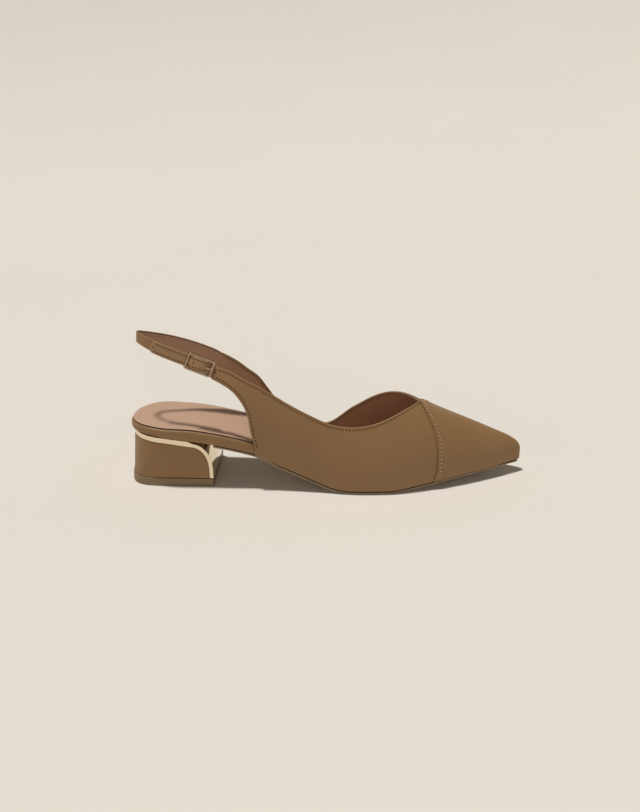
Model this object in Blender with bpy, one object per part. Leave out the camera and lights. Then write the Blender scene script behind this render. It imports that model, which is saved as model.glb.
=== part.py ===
"""Slingback sandal for the right foot, pointed toe, low block heel, empty and standing on a floor.

+X points to the toe, +Y to the inner side of the foot, +Z up, all in metres. While the pieces are
modelled, x = 0 is the back of the heel and y = 0 the middle of the heel seat. At the end everything
moves so that the origin is the middle of the bounding box, on the floor.
"""

import math

import bmesh
import bpy
import numpy as np
from mathutils import Vector

OUTER = -1
INNER = 1
SIDES = (OUTER, INNER)

# Driving sizes
LENGTH = 0.262
BALL_WIDTH = 0.072
SEAT_WIDTH = 0.0548
HEEL_RISE = 0.0333
VAMP_HEIGHT = 0.0532
STRAP_HEIGHT = 0.0965
STRAP_LOOP = 0.0168

# Thicknesses and clearances
GAP = 0.0003
LEATHER = 0.0016
CAP_LEATHER = 0.0008
OUTSOLE = 0.0022
SOCK = 0.0008
STRAP_THICK = 0.0010
SLING_WIDTH = 0.0074
BILLET_WIDTH = 0.0081

# Plan of the upper at its lower edge, seen from above: x along the length, the two edges as shares
# of the ball width, and the line of the ridge
SEAT_BACK = -0.0028
SEAT_SQUARE = 0.0270
SEAT_POWER = 2.1
PLAN = (
    # x      outer   inner   ridge
    (0.103, 0.381, 0.381, 0.000),
    (0.230, 0.383, 0.358, 0.000),
    (0.345, 0.388, 0.335, 0.015),
    (0.458, 0.422, 0.378, 0.030),
    (0.573, 0.472, 0.462, 0.038),
    (0.649, 0.458, 0.508, 0.042),
    (0.725, 0.388, 0.486, 0.048),
    (0.802, 0.275, 0.418, 0.080),
    (0.878, 0.143, 0.335, 0.112),
    (0.935, 0.030, 0.265, 0.132),
    (0.977, -0.067, 0.208, 0.138),
    (1.000, -0.139, 0.139, 0.139),
)

# Side view: underside of the outsole as a share of the heel rise, ridge of the last as a share of
# the height at the throat
UNDERSIDE = (
    # x     height
    (0.000, 1.000),
    (0.040, 0.998),
    (0.120, 0.930),
    (0.220, 0.818),
    (0.320, 0.645),
    (0.400, 0.400),
    (0.480, 0.145),
    (0.515, 0.045),
    (0.555, 0.000),
    (0.660, 0.000),
    (0.740, 0.065),
    (0.860, 0.148),
    (1.000, 0.190),
)
RIDGE = (
    # x     height
    (0.200, 1.740),
    (0.270, 1.745),
    (0.320, 1.690),
    (0.380, 1.580),
    (0.460, 1.435),
    (0.535, 1.295),
    (0.610, 1.165),
    (0.668, 1.090),
    (0.700, 1.045),
    (0.730, 0.985),
    (0.780, 0.862),
    (0.862, 0.690),
    (0.927, 0.550),
    (0.974, 0.445),
    (0.992, 0.380),
    (1.000, 0.290),
)
# How square the cross-sections are: 2 is an ellipse
ROUNDNESS = ((0.20, 2.05), (0.50, 2.15), (0.75, 2.20), (1.00, 2.10))
# Share of the length ahead of which surfaces a distance apart also end a distance apart
NOSE = 0.9

# Opening of the upper: girth is 0 at the lower edge and 1 on the ridge
THROAT = 0.733
TOPLINE = (
    # x     outer  inner
    (0.222, 0.625, 0.615),
    (0.263, 0.572, 0.510),
    (0.290, 0.530, 0.440),
    (0.316, 0.508, 0.395),
    (0.345, 0.488, 0.295),
    (0.370, 0.470, 0.220),
    (0.400, 0.448, 0.182),
    (0.440, 0.428, 0.164),
    (0.465, 0.420, 0.162),
    (0.490, 0.415, 0.172),
    (0.510, 0.416, 0.203),
    (0.530, 0.423, 0.253),
    (0.556, 0.438, 0.331),
    (0.584, 0.463, 0.410),
    (0.612, 0.502, 0.506),
    (0.640, 0.560, 0.610),
    (0.665, 0.628, 0.715),
    (0.684, 0.695, 0.790),
    (0.710, 0.815, 0.880),
    (0.733, 1.000, 1.000),
)
OUTER_BACK = (
    # x     girth
    (0.323, 0.000),
    (0.321, 0.055),
    (0.312, 0.150),
    (0.306, 0.240),
    (0.295, 0.312),
    (0.281, 0.365),
    (0.264, 0.415),
    (0.238, 0.465),
    (0.217, 0.500),
)
INNER_BACK = (
    # x     girth
    (0.323, 0.000),
    (0.321, 0.055),
    (0.312, 0.145),
    (0.303, 0.205),
    (0.288, 0.258),
    (0.270, 0.300),
    (0.248, 0.338),
    (0.225, 0.372),
    (0.203, 0.401),
)
FAN_FRONT = 0.400

# Seam between vamp and toe cap
CAP_SEAM = (
    # girth x
    (0.00, 0.772),
    (0.12, 0.779),
    (0.30, 0.780),
    (0.50, 0.772),
    (0.72, 0.756),
    (1.00, 0.733),
)

# Footbed: thickness along its length, and its padded edge as insets and heights above its underside
FOOTBED_THICK = 0.0074
FOOTBED = (
    # x    thickness
    (0.00, 0.65),
    (0.08, 0.76),
    (0.18, 1.00),
    (0.30, 0.97),
    (0.45, 0.76),
    (0.70, 0.57),
    (0.90, 0.41),
    (1.00, 0.35),
)
FOOTBED_INSET = LEATHER + GAP + 0.0002
FOOTBED_CURVE = 0.0010
SOCK_INSET = 0.0014
SOCK_BEVEL = 0.0003

# Outsole: inset of its visible edge from the upper's, and the small bevel below it
SOLE_INSET = 0.0009
SOLE_BEVEL = 0.0007

# Behind the upper the outsole's edge is tucked under the footbed
WAIST_END = 0.102
WAIST_FADE = 0.020
WAIST_TUCK = 0.0035

# Heel: a D in plan, and the side profile of its leather block as shares of the heel's length and
# rise, from the back over the shoulder and down the breast
HEEL_BACK = -0.0008
HEEL_LENGTH = 0.0562
HEEL_HALF_WIDTH = 0.0248
HEEL_SQUARE = 0.36 * HEEL_LENGTH
HEEL_POWER = 3.0
HEEL_FLARE = 0.0016
BLOCK_INSET = 0.0005
TRIM_INSET = 0.0003
TOP_LIFT = 0.0055
BLOCK_TOP = (
    # x     z
    (-0.07, 0.955),
    (0.18, 0.937),
    (0.39, 0.901),
    (0.59, 0.862),
    (0.73, 0.835),
)
SHOULDER_X = 0.947 * HEEL_LENGTH
SHOULDER_DROP = 0.51 * HEEL_RISE
SHOULDER_POWER = 0.9
BREAST_SLOPE = 0.0004
TRIM_FRONT = 0.0029
TRIM_SEAT_END = 0.71 * HEEL_LENGTH
TRIM_CORNER = 0.76 * HEEL_LENGTH
# Blanks and cutters of the heel reach beyond the finished shape by this much
BEYOND = 0.010

# Line of the sling strap from the outer wing round the heel to the inner wing: x as a share of the
# length, y of the loop's half width, height of the strap's, lean inward in degrees, and width of the
# sling's; its last place is the inner wing's end
SLING = (
    # x     y      z      lean  width
    (0.2233, -1.00, 0.820, 24.0, 1.00),
    (0.1908, -0.95, 0.851, 20.0, 1.00),
    (0.1469, -0.88, 0.893, 16.0, 1.00),
    (0.0973, -0.79, 0.940, 11.0, 1.00),
    (0.0553, -0.60, 0.981, 7.0, 1.00),
    (0.0328, -0.33, 0.999, 5.0, 1.00),
    (0.0240, 0.00, 0.998, 4.0, 1.00),
    (0.0328, 0.30, 0.980, 4.5, 1.05),
    (0.0553, 0.50, 0.956, 5.5, 1.22),
    (0.0973, 0.68, 0.918, 8.0, 1.46),
    (0.1469, 0.83, 0.866, 13.5, 1.72),
    (0.1908, 0.97, 0.807, 20.5, 2.02),
)

# Buckle
BUCKLE_X = 0.1870 * LENGTH
BUCKLE_LENGTH = 0.0186
BUCKLE_WIDTH = 0.0112
BAR = 0.0013
BAR_DEPTH = 0.0010
BUCKLE_OUT = 0.0017
WING_BUTT = 0.0022
SKEW_REACH = 0.016
BILLET_REACH = 0.0340
PRONG_THICK = 0.0009

# Fineness: columns and rows of the leather surfaces, stations of the plates, steps of the rest
BACK_COLUMNS = 15
FOOT_COLUMNS = 4
OPEN_COLUMNS = 17
TOE_COLUMNS = 16
ROWS = 9
PLATE_STATIONS = 52
CORNER_STEPS = 12
SAMPLES = 60
SHARP_ANGLE = math.radians(40.0)

CAMEL = (0.262, 0.150, 0.066, 1.0)
CAMEL_SHADE = (0.250, 0.138, 0.060, 1.0)
NUDE = (0.600, 0.370, 0.285, 1.0)
OLIVE = (0.150, 0.115, 0.055, 1.0)
DARK_TAN = (0.100, 0.058, 0.028, 1.0)
GOLD = (0.830, 0.690, 0.470, 1.0)


def clear_scene():
    """Remove every object that the file opens with."""
    for item in list(bpy.data.objects):
        bpy.data.objects.remove(item, do_unlink=True)


def material(name, colour, roughness, metallic=0.0):
    """One plain surface finish."""
    made = bpy.data.materials.new(name)
    made.use_nodes = True
    shader = made.node_tree.nodes["Principled BSDF"]
    shader.inputs["Base Color"].default_value = colour
    shader.inputs["Roughness"].default_value = roughness
    shader.inputs["Metallic"].default_value = metallic
    return made


def column(rows, index, scale=1.0):
    """One column of a table, in metres."""
    return np.array([row[index] for row in rows]) * scale


def slopes(xs, ys):
    """Slopes of a monotone cubic through the points, which never overshoots them."""
    steps = np.diff(xs)
    grades = np.diff(ys) / steps
    result = np.zeros_like(ys)
    for k in range(1, len(xs) - 1):
        before, after = grades[k - 1], grades[k]
        if before * after > 0.0:
            first = 2.0 * steps[k] + steps[k - 1]
            second = steps[k] + 2.0 * steps[k - 1]
            result[k] = (first + second) / (first / before + second / after)
    result[0], result[-1] = grades[0], grades[-1]
    return result


def smooth(x, xs, ys):
    """Height at x of the monotone cubic through the points."""
    xs, ys = np.asarray(xs, float), np.asarray(ys, float)
    if xs[0] > xs[-1]:
        xs, ys = xs[::-1], ys[::-1]
    x = min(max(x, xs[0]), xs[-1])
    grades = slopes(xs, ys)
    k = min(max(int(np.searchsorted(xs, x)) - 1, 0), len(xs) - 2)
    width = xs[k + 1] - xs[k]
    t = (x - xs[k]) / width
    return float(
        ys[k] * (1 + 2 * t) * (1 - t) ** 2
        + grades[k] * width * t * (1 - t) ** 2
        + ys[k + 1] * t * t * (3 - 2 * t)
        + grades[k + 1] * width * t * t * (t - 1)
    )


def toe_warp(x):
    """Square root of the distance to the tip, in which a rounded nose is a straight line."""
    return math.sqrt(max(LENGTH - x, 0.0))


PLAN_WARP = [toe_warp(x) for x in column(PLAN, 0, LENGTH)]
RIDGE_WARP = [toe_warp(x) for x in column(RIDGE, 0, LENGTH)]


def plan_edge(side, x):
    """Y of the upper's lower edge on one side."""
    square = column(PLAN, 0, LENGTH)[0]
    if x < square:
        reach = min((square - x) / (square - SEAT_BACK), 1.0)
        return side * SEAT_WIDTH / 2 * (1 - reach ** SEAT_POWER) ** (1 / SEAT_POWER)
    share = 1 if side == OUTER else 2
    return side * smooth(toe_warp(x), PLAN_WARP, column(PLAN, share, BALL_WIDTH))


def ridge_y(x):
    """Y of the ridge, which leans to the inner side of the foot toward the toe."""
    return smooth(toe_warp(x), PLAN_WARP, column(PLAN, 3, BALL_WIDTH))


def underside(x):
    """Height of the outsole's underside."""
    return smooth(x, column(UNDERSIDE, 0, LENGTH), column(UNDERSIDE, 1, HEEL_RISE))


def lasting_z(x):
    """Height on which footbed and upper stand, just above the outsole."""
    return underside(x) + OUTSOLE + GAP


def ridge_z(x):
    """Height of the last's ridge."""
    return smooth(toe_warp(x), RIDGE_WARP, column(RIDGE, 1, VAMP_HEIGHT))


def offset_line(points, distance):
    """A plane line moved to its left by a distance."""
    points = np.asarray(points)
    along = np.gradient(points, axis=0)
    along /= np.linalg.norm(along, axis=1)[:, None]
    return points + distance * np.stack([-along[:, 1], along[:, 0]], axis=1)


def outline_x():
    """Stations along the length, close together at both rounded ends."""
    turn = np.linspace(0.0, math.pi, 6 * SAMPLES)
    return SEAT_BACK + (LENGTH - SEAT_BACK) * (1 - np.cos(turn)) / 2


OFFSET_PLANS = {}
OFFSET_RIDGES = {}


def offset_plan(side, distance):
    """One side of the plan, moved outward by a distance, as arrays of x and y."""
    key = (side, round(distance, 6))
    if key not in OFFSET_PLANS:
        xs = outline_x()
        edge = np.array([(x, plan_edge(side, x)) for x in xs])
        moved = offset_line(edge, side * distance)
        keep = np.concatenate([[True], np.diff(np.maximum.accumulate(moved[:, 0])) > 0])
        OFFSET_PLANS[key] = (moved[keep, 0], moved[keep, 1])
    return OFFSET_PLANS[key]


def offset_edge(side, x, distance):
    """Y of the plan moved outward by a distance."""
    xs, ys = offset_plan(side, distance)
    return float(np.interp(x, xs, ys))


def offset_ridge(x, distance):
    """Height of the ridge moved outward by a distance."""
    key = round(distance, 6)
    if key not in OFFSET_RIDGES:
        xs = [v for v in outline_x() if v > RIDGE[0][0] * LENGTH]
        line = np.array([(v, ridge_z(v)) for v in xs])
        moved = offset_line(line, distance)
        keep = np.concatenate([[True], np.diff(np.maximum.accumulate(moved[:, 0])) > 0])
        OFFSET_RIDGES[key] = (moved[keep, 0], moved[keep, 1])
    xs, zs = OFFSET_RIDGES[key]
    return float(np.interp(x, xs, zs))


def toe_shift(x, distance):
    """X of the same station on a surface moved outward by a distance."""
    near_toe = max((x / LENGTH - NOSE) / (1 - NOSE), 0.0)
    return x + distance * near_toe ** 2


def last_point(side, x, girth, distance=0.0):
    """Point of the last's surface, or of a surface a distance outside it."""
    foot = lasting_z(x)
    moved = toe_shift(x, distance)
    middle = ridge_y(x)
    edge = offset_edge(side, moved, distance)
    if x > LENGTH - 1e-6:
        edge = middle
    crest = offset_ridge(moved, distance)
    power = 2 / smooth(x, column(ROUNDNESS, 0, LENGTH), column(ROUNDNESS, 1))
    turn = girth * math.pi / 2
    y = middle + (edge - middle) * max(math.cos(turn), 0.0) ** power
    z = foot + (crest - foot) * math.sin(turn) ** power
    if girth > 1 - 1e-9:
        y = middle
    return Vector((moved, y, z))


def build_object(name, points, faces, look):
    """A named object from points and faces, welded, with its faces turned outward."""
    mesh = bpy.data.meshes.new(name)
    mesh.from_pydata([tuple(p) for p in points], [], faces)
    shape = bmesh.new()
    shape.from_mesh(mesh)
    bmesh.ops.remove_doubles(shape, verts=shape.verts, dist=0.00002)
    bmesh.ops.dissolve_degenerate(shape, edges=shape.edges, dist=0.00001)
    bmesh.ops.recalc_face_normals(shape, faces=shape.faces)
    if shape.calc_volume(signed=True) < 0:
        bmesh.ops.reverse_faces(shape, faces=shape.faces)
    shape.to_mesh(mesh)
    shape.free()
    mesh.shade_smooth()
    mesh.set_sharp_from_angle(angle=SHARP_ANGLE)
    made = bpy.data.objects.new(name, mesh)
    bpy.context.scene.collection.objects.link(made)
    made.data.materials.append(look)
    return made


def grid_faces(rows, columns, start):
    """Quads of a grid whose points are stored row by row."""
    return [
        (start + r * columns + c, start + r * columns + c + 1,
         start + (r + 1) * columns + c + 1, start + (r + 1) * columns + c)
        for r in range(rows - 1)
        for c in range(columns - 1)
    ]


def wall(outside, inside, is_open):
    """Points and faces of a wall between two grids of columns. Its border is closed except where
    is_open says that it meets the other half of the shoe."""
    columns, rows = len(outside), len(outside[0])
    points = [p for line in outside + inside for p in line]
    offset = columns * rows
    faces = grid_faces(columns, rows, 0) + grid_faces(columns, rows, offset)
    border = [(0, r) for r in range(rows)]
    border += [(c, rows - 1) for c in range(1, columns)]
    border += [(columns - 1, r) for r in range(rows - 2, -1, -1)]
    border += [(c, 0) for c in range(columns - 2, 0, -1)]
    for start, end in zip(border, border[1:] + border[:1]):
        if not is_open(start, end):
            a, b = start[0] * rows + start[1], end[0] * rows + end[1]
            faces.append((a, b, b + offset, a + offset))
    return points, faces


def join_halves(name, halves, look):
    """One object from the walls of both sides, which weld along the ridge and at the tip."""
    points, faces = [], []
    for half_points, half_faces in halves:
        start = len(points)
        points += half_points
        faces += [tuple(start + v for v in face) for face in half_faces]
    return build_object(name, points, faces, look)


def toe_stations(start, count):
    """Stations from a start to the tip, closer together at the rounded nose."""
    first = toe_warp(start)
    return [LENGTH - (first * (1 - k / count)) ** 2 for k in range(count + 1)]


def path_at(points, share):
    """Point at a share of the length of a path."""
    points = np.asarray(points, float)
    lengths = np.concatenate([[0], np.cumsum(np.linalg.norm(np.diff(points, axis=0), axis=1))])
    place = share * lengths[-1]
    return [float(np.interp(place, lengths, points[:, k])) for k in range(points.shape[1])]


def topline(side, x):
    """Girth at which the upper's opening cuts one side."""
    share = 1 if side == OUTER else 2
    return smooth(x, column(TOPLINE, 0, LENGTH), column(TOPLINE, share))


def side_columns(side):
    """Lower and upper end of each column of one side of the upper, from the wing to the toe."""
    girth_scale = VAMP_HEIGHT * 1.5
    back_edge = OUTER_BACK if side == OUTER else INNER_BACK
    edge_x = column(back_edge, 0, LENGTH)
    edge_girth = column(back_edge, 1)
    back_path = []
    for k in range(SAMPLES + 1):
        girth = edge_girth[-1] * (1 - k / SAMPLES)
        back_path.append((smooth(girth, edge_girth, edge_x), girth * girth_scale))
    top_path = []
    top_start = TOPLINE[0][0] * LENGTH
    top_end = FAN_FRONT * LENGTH
    for k in range(SAMPLES + 1):
        x = top_start + (top_end - top_start) * k / SAMPLES
        top_path.append((x, topline(side, x) * girth_scale))
    foot_path = [back_path[-1], (top_end, 0.0)]
    fan = BACK_COLUMNS + FOOT_COLUMNS
    columns = []
    for k in range(fan):
        top = path_at(top_path, k / fan)
        low = (
            path_at(back_path, k / BACK_COLUMNS)
            if k <= BACK_COLUMNS
            else path_at(foot_path, (k - BACK_COLUMNS) / FOOT_COLUMNS)
        )
        columns.append(((low[0], low[1] / girth_scale), (top[0], top[1] / girth_scale)))
    throat = THROAT * LENGTH
    for k in range(OPEN_COLUMNS):
        x = top_end + (throat - top_end) * k / OPEN_COLUMNS
        columns.append(((x, 0.0), (x, topline(side, x))))
    columns += [((x, 0.0), (x, 1.0)) for x in toe_stations(throat, TOE_COLUMNS)]
    return columns


def side_grid(side, distance):
    """Points of one side of the upper on a surface a distance from the last."""
    grid = []
    for low, high in side_columns(side):
        line = []
        for r in range(ROWS + 1):
            t = r / ROWS
            x = low[0] + (high[0] - low[0]) * t
            girth = low[1] + (high[1] - low[1]) * t
            line.append(last_point(side, x, girth, distance))
        grid.append(line)
    return grid


def upper(look):
    """Vamp, quarters and wings as one hollow leather shell, open above, behind and below."""
    columns = side_columns(OUTER)
    tip = len(columns) - 1

    def is_open(start, end):
        on_top = start[1] == ROWS and end[1] == ROWS
        ahead = columns[min(start[0], end[0])][1][1] > 1 - 1e-9
        return (on_top and ahead) or (start[0] == tip and end[0] == tip)

    halves = [wall(side_grid(side, 0.0), side_grid(side, -LEATHER), is_open) for side in SIDES]
    return join_halves("upper", halves, look)


def seam_x(girth):
    """X of the toe cap's edge at a girth."""
    return smooth(girth, column(CAP_SEAM, 0), column(CAP_SEAM, 1, LENGTH))


def cap_grid(side, distance):
    """Points of one side of the toe cap, from its seam to the tip."""
    grid = []
    for k in range(TOE_COLUMNS + 1):
        line = []
        for r in range(ROWS + 1):
            girth = r / ROWS
            x = LENGTH - (toe_warp(seam_x(girth)) * (1 - k / TOE_COLUMNS)) ** 2
            line.append(last_point(side, x, girth, distance))
        grid.append(line)
    return grid


def toe_cap(look):
    """The leather cap over the toe, whose folded edge lies on the vamp."""

    def is_open(start, end):
        on_ridge = start[1] == ROWS and end[1] == ROWS
        return on_ridge or (start[0] == TOE_COLUMNS and end[0] == TOE_COLUMNS)

    halves = [
        wall(cap_grid(side, GAP + CAP_LEATHER), cap_grid(side, GAP), is_open) for side in SIDES
    ]
    return join_halves("toe_cap", halves, look)


def slab_ring(back, front, square_back, distance, height):
    """Points round the plan between two stations, moved outward and set at a height. Stations
    lie closer together at a rounded end."""
    if square_back:
        shares = [math.sin(math.pi / 2 * k / PLATE_STATIONS) for k in range(PLATE_STATIONS + 1)]
    else:
        shares = [
            (1 - math.cos(math.pi * k / PLATE_STATIONS)) / 2 for k in range(PLATE_STATIONS + 1)
        ]
    xs = [back + (front - back) * share for share in shares]
    ring = [Vector((x, offset_edge(OUTER, x, distance(x)), height(x))) for x in xs]
    ring += [Vector((x, offset_edge(INNER, x, distance(x)), height(x))) for x in reversed(xs)]
    return ring


def slab(name, rings, look):
    """A closed plate from rings of equal length, stacked from its underside to its top."""
    points = [p for ring in rings for p in ring]
    size = len(rings[0])
    faces = []
    for level in range(len(rings) - 1):
        for k in range(size):
            a, b = level * size + k, level * size + (k + 1) % size
            faces.append((a, b, b + size, a + size))
    for level in (0, len(rings) - 1):
        for k in range(size // 2 - 1):
            a = level * size + k
            c = level * size + size - 1 - k
            faces.append((a, a + 1, c - 1, c))
    return build_object(name, points, faces, look)


def inset_end(side_distance):
    """Where an outline moved inward ends, at the back and at the toe."""
    back = max(offset_plan(side, side_distance)[0][0] for side in SIDES)
    front = min(offset_plan(side, side_distance)[0][-1] for side in SIDES)
    return back, front


def plate(name, look, levels, back=None, tuck=lambda x: 0.0):
    """A plate along the footprint: each level has an inset and a height along x. It ends in a
    straight edge if a back is given."""
    rings = []
    for inset, height in levels:
        ends = inset_end(-inset)
        start = ends[0] if back is None else back
        rings.append(
            slab_ring(start, ends[1], back is not None, lambda x, d=inset: -d - tuck(x), height)
        )
    return slab(name, rings, look)


def footbed_top(x):
    """Height of the wrapped footbed's upper face."""
    thick = smooth(x, column(FOOTBED, 0, LENGTH), column(FOOTBED, 1, FOOTBED_THICK))
    return lasting_z(x) + thick


def insole(look):
    """Padded footbed wrapped in leather, whose edge shows round the heel."""
    inset, curve = FOOTBED_INSET, FOOTBED_CURVE
    levels = (
        (inset + curve, lasting_z),
        (inset + curve * 0.2, lambda x: lasting_z(x) + curve * 0.6),
        (inset, lambda x: lasting_z(x) + curve * 1.5),
        (inset + curve * 0.3, lambda x: footbed_top(x) - curve * 0.9),
        (inset + curve, footbed_top),
    )
    return plate("insole", look, levels)


def sock_lining(look):
    """Thin sock glued on the footbed."""
    inset = FOOTBED_INSET + SOCK_INSET
    levels = (
        (inset, lambda x: footbed_top(x) + GAP),
        (inset, lambda x: footbed_top(x) + GAP + SOCK * 0.6),
        (inset + SOCK_BEVEL, lambda x: footbed_top(x) + GAP + SOCK),
    )
    return plate("sock_lining", look, levels)


def waist_tuck(x):
    """How far the outsole's edge is hidden under the footbed behind the upper."""
    behind = min(max((WAIST_END - x) / WAIST_FADE, 0.0), 1.0)
    return WAIST_TUCK * behind * behind * (3 - 2 * behind)


def outsole(look):
    """Thin outsole from the heel breast to the toe, flat on the floor under the ball."""
    levels = (
        (SOLE_INSET + SOLE_BEVEL, underside),
        (SOLE_INSET, lambda x: underside(x) + SOLE_BEVEL),
        (SOLE_INSET, lambda x: underside(x) + OUTSOLE),
    )
    return plate("outsole", look, levels, HEEL_LENGTH + 2 * GAP, waist_tuck)


def heel_prism(name, low, high, inset, look):
    """Upright D-shaped block with a straight breast, between two heights."""
    half = HEEL_HALF_WIDTH - inset
    corner = []
    for k in range(CORNER_STEPS + 1):
        turn = math.pi / 2 * k / CORNER_STEPS
        reach = HEEL_SQUARE - HEEL_BACK - inset
        x = HEEL_SQUARE - reach * math.cos(turn) ** (2 / HEEL_POWER)
        corner.append((x, half * math.sin(turn) ** (2 / HEEL_POWER)))
    outline = [(x, -y) for x, y in corner]
    outline += [(HEEL_LENGTH, -half), (HEEL_LENGTH, half)]
    outline += [(x, y) for x, y in reversed(corner[1:])]
    size = len(outline)
    points = []
    for z in (low, high):
        shrink = 1 - HEEL_FLARE * z / HEEL_RISE / HEEL_LENGTH
        points += [(HEEL_LENGTH - (HEEL_LENGTH - x) * shrink, y, z) for x, y in outline]
    faces = [tuple(range(size)), tuple(range(size, 2 * size))]
    faces += [(k, (k + 1) % size, (k + 1) % size + size, k + size) for k in range(size)]
    return build_object(name, points, faces, look)


def side_cutter(name, profile, look):
    """A side profile drawn in x and z, as wide as the heel and more."""
    reach = HEEL_HALF_WIDTH * 1.5
    size = len(profile)
    points = [(x, -reach, z) for x, z in profile] + [(x, reach, z) for x, z in profile]
    faces = [tuple(range(size)), tuple(range(size, 2 * size))]
    faces += [(k, (k + 1) % size, (k + 1) % size + size, k + size) for k in range(size)]
    return build_object(name, points, faces, look)


def combine(target, other, operation):
    """Boolean of two objects, which keeps the first one."""
    step = target.modifiers.new(operation.lower(), "BOOLEAN")
    step.object = other
    step.operation = operation
    step.solver = "EXACT"
    bpy.context.view_layer.update()
    solved = target.evaluated_get(bpy.context.evaluated_depsgraph_get())
    mesh = bpy.data.meshes.new_from_object(solved)
    target.modifiers.remove(step)
    target.data = mesh
    bpy.data.objects.remove(other, do_unlink=True)
    mesh.shade_smooth()
    mesh.set_sharp_from_angle(angle=SHARP_ANGLE)
    return target


def block_profile(grow):
    """Top and breast of the heel block in side view, moved outward by a distance."""
    top = [(HEEL_LENGTH * x, HEEL_RISE * z) for x, z in BLOCK_TOP]
    corner_x, corner_z = top[-1]
    for k in range(1, CORNER_STEPS + 1):
        turn = math.pi / 2 * k / CORNER_STEPS
        x = corner_x + (SHOULDER_X - corner_x) * math.sin(turn) ** SHOULDER_POWER
        z = corner_z - SHOULDER_DROP * (1 - math.cos(turn) ** SHOULDER_POWER)
        top.append((x, z))
    top.append((SHOULDER_X + BREAST_SLOPE, 0.0))
    return [tuple(point) for point in offset_line(top, grow)]


def heel_block(look):
    """Leather-covered block of the heel."""
    block = heel_prism("heel_block", TOP_LIFT + GAP, HEEL_RISE + BEYOND, BLOCK_INSET, look)
    profile = block_profile(0.0) + [(SHOULDER_X + BREAST_SLOPE, -BEYOND), (-BEYOND, -BEYOND)]
    return combine(block, side_cutter("heel_side", profile, look), "INTERSECT")


def seat_line(x):
    """Underside of the footbed, where the heel trim ends."""
    return lasting_z(x) - GAP


def heel_trim(look):
    """Polished metal plate over the block: a wedge under the seat, bent down over the breast."""
    trim = heel_prism("heel_trim", TOP_LIFT + GAP, HEEL_RISE + BEYOND, TRIM_INSET, look)
    seat = [(x, seat_line(x)) for x in np.linspace(-BEYOND, TRIM_SEAT_END, CORNER_STEPS)]
    outer = seat + [(x, z) for x, z in block_profile(TRIM_FRONT) if x > TRIM_CORNER]
    inner = block_profile(GAP)
    outer[-1] = (outer[-1][0], -BEYOND)
    inner[-1] = (inner[-1][0], -BEYOND)
    profile = [(-BEYOND, inner[0][1])] + outer + list(reversed(inner))
    return combine(trim, side_cutter("trim_side", profile, look), "INTERSECT")


def top_lift(look):
    """Tread of the heel."""
    return heel_prism("top_lift", 0.0, TOP_LIFT, 0.0, look)


def spline(points, share):
    """Point at a share of a smooth curve through the points, by their chord lengths."""
    points = np.asarray(points, float)
    chords = np.sqrt(np.linalg.norm(np.diff(points[:, :3], axis=0), axis=1))
    knots = np.concatenate([[0], np.cumsum(chords)])
    place = share * knots[-1]
    k = min(int(np.searchsorted(knots, place, side="right")) - 1, len(points) - 2)
    span = knots[k + 1] - knots[k]
    t = (place - knots[k]) / span

    def tangent(i):
        low, high = max(i - 1, 0), min(i + 1, len(points) - 1)
        return (points[high] - points[low]) / (knots[high] - knots[low])

    return (
        points[k] * (1 + 2 * t) * (1 - t) ** 2
        + tangent(k) * span * t * (1 - t) ** 2
        + points[k + 1] * t * t * (3 - 2 * t)
        + tangent(k + 1) * span * t * t * (t - 1)
    )


def inner_wing_end():
    """Lower and upper corner of the inner wing's end, in the middle of its wall."""
    low_x, low_girth = INNER_BACK[-1]
    low = last_point(INNER, low_x * LENGTH, low_girth, -LEATHER / 2)
    high_x = TOPLINE[0][0] * LENGTH
    high = last_point(INNER, high_x, topline(INNER, high_x), -LEATHER / 2)
    return low, high


def sling_frames():
    """Centre line of the strap with its length, direction, width and outward directions, and width."""
    route = [
        (LENGTH * x, STRAP_LOOP * y, STRAP_HEIGHT * z, lean, SLING_WIDTH * width)
        for x, y, z, lean, width in SLING
    ]
    low, high = inner_wing_end()
    lean = math.degrees(math.atan2(low.y - high.y, high.z - low.z))
    route.append((*((low + high) / 2), lean, (high - low).length))
    count = 240
    samples = np.array([spline(route, k / count) for k in range(count + 1)])
    centre = samples[:, :3]
    along = np.gradient(centre, axis=0)
    along /= np.linalg.norm(along, axis=1)[:, None]
    length = np.concatenate([[0], np.cumsum(np.linalg.norm(np.diff(centre, axis=0), axis=1))])
    across, outward = [], []
    for k in range(count + 1):
        level = Vector((along[k][0], along[k][1], 0.0)).normalized()
        out = Vector((level.y, -level.x, 0.0))
        if out.dot(Vector((centre[k][0] - 0.06, centre[k][1], 0.0))) < 0:
            out.negate()
        lean = math.radians(samples[k][3])
        width = Vector((0, 0, math.cos(lean))) - out * math.sin(lean)
        direction = Vector(along[k])
        width = (width - direction * width.dot(direction)).normalized()
        across.append(width)
        side = direction.cross(width)
        if side.dot(out) < 0:
            side.negate()
        outward.append(side)
    return length, centre, along, np.array(across), np.array(outward), samples[:, 4]


STRAP_FRAMES = sling_frames()


def strap_point(place, out, across):
    """Point at a distance along the strap's line, moved outward and across it."""
    length, centre, along, width, outward, wide = STRAP_FRAMES
    spot = np.array([np.interp(place, length, centre[:, k]) for k in range(3)])
    lift = np.array([np.interp(place, length, outward[:, k]) for k in range(3)])
    span = np.array([np.interp(place, length, width[:, k]) for k in range(3)])
    return Vector(spot + lift * out + span * across)


def buckle_place():
    """Distance along the strap's line at which the buckle sits, on the outer side."""
    length, centre, along, width, outward, wide = STRAP_FRAMES
    outer_half = [k for k in range(len(length)) if centre[k][1] < 0]
    nearest = min(outer_half, key=lambda k: abs(centre[k][0] - BUCKLE_X))
    return float(length[nearest])


BUCKLE_PLACE = buckle_place()


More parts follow.
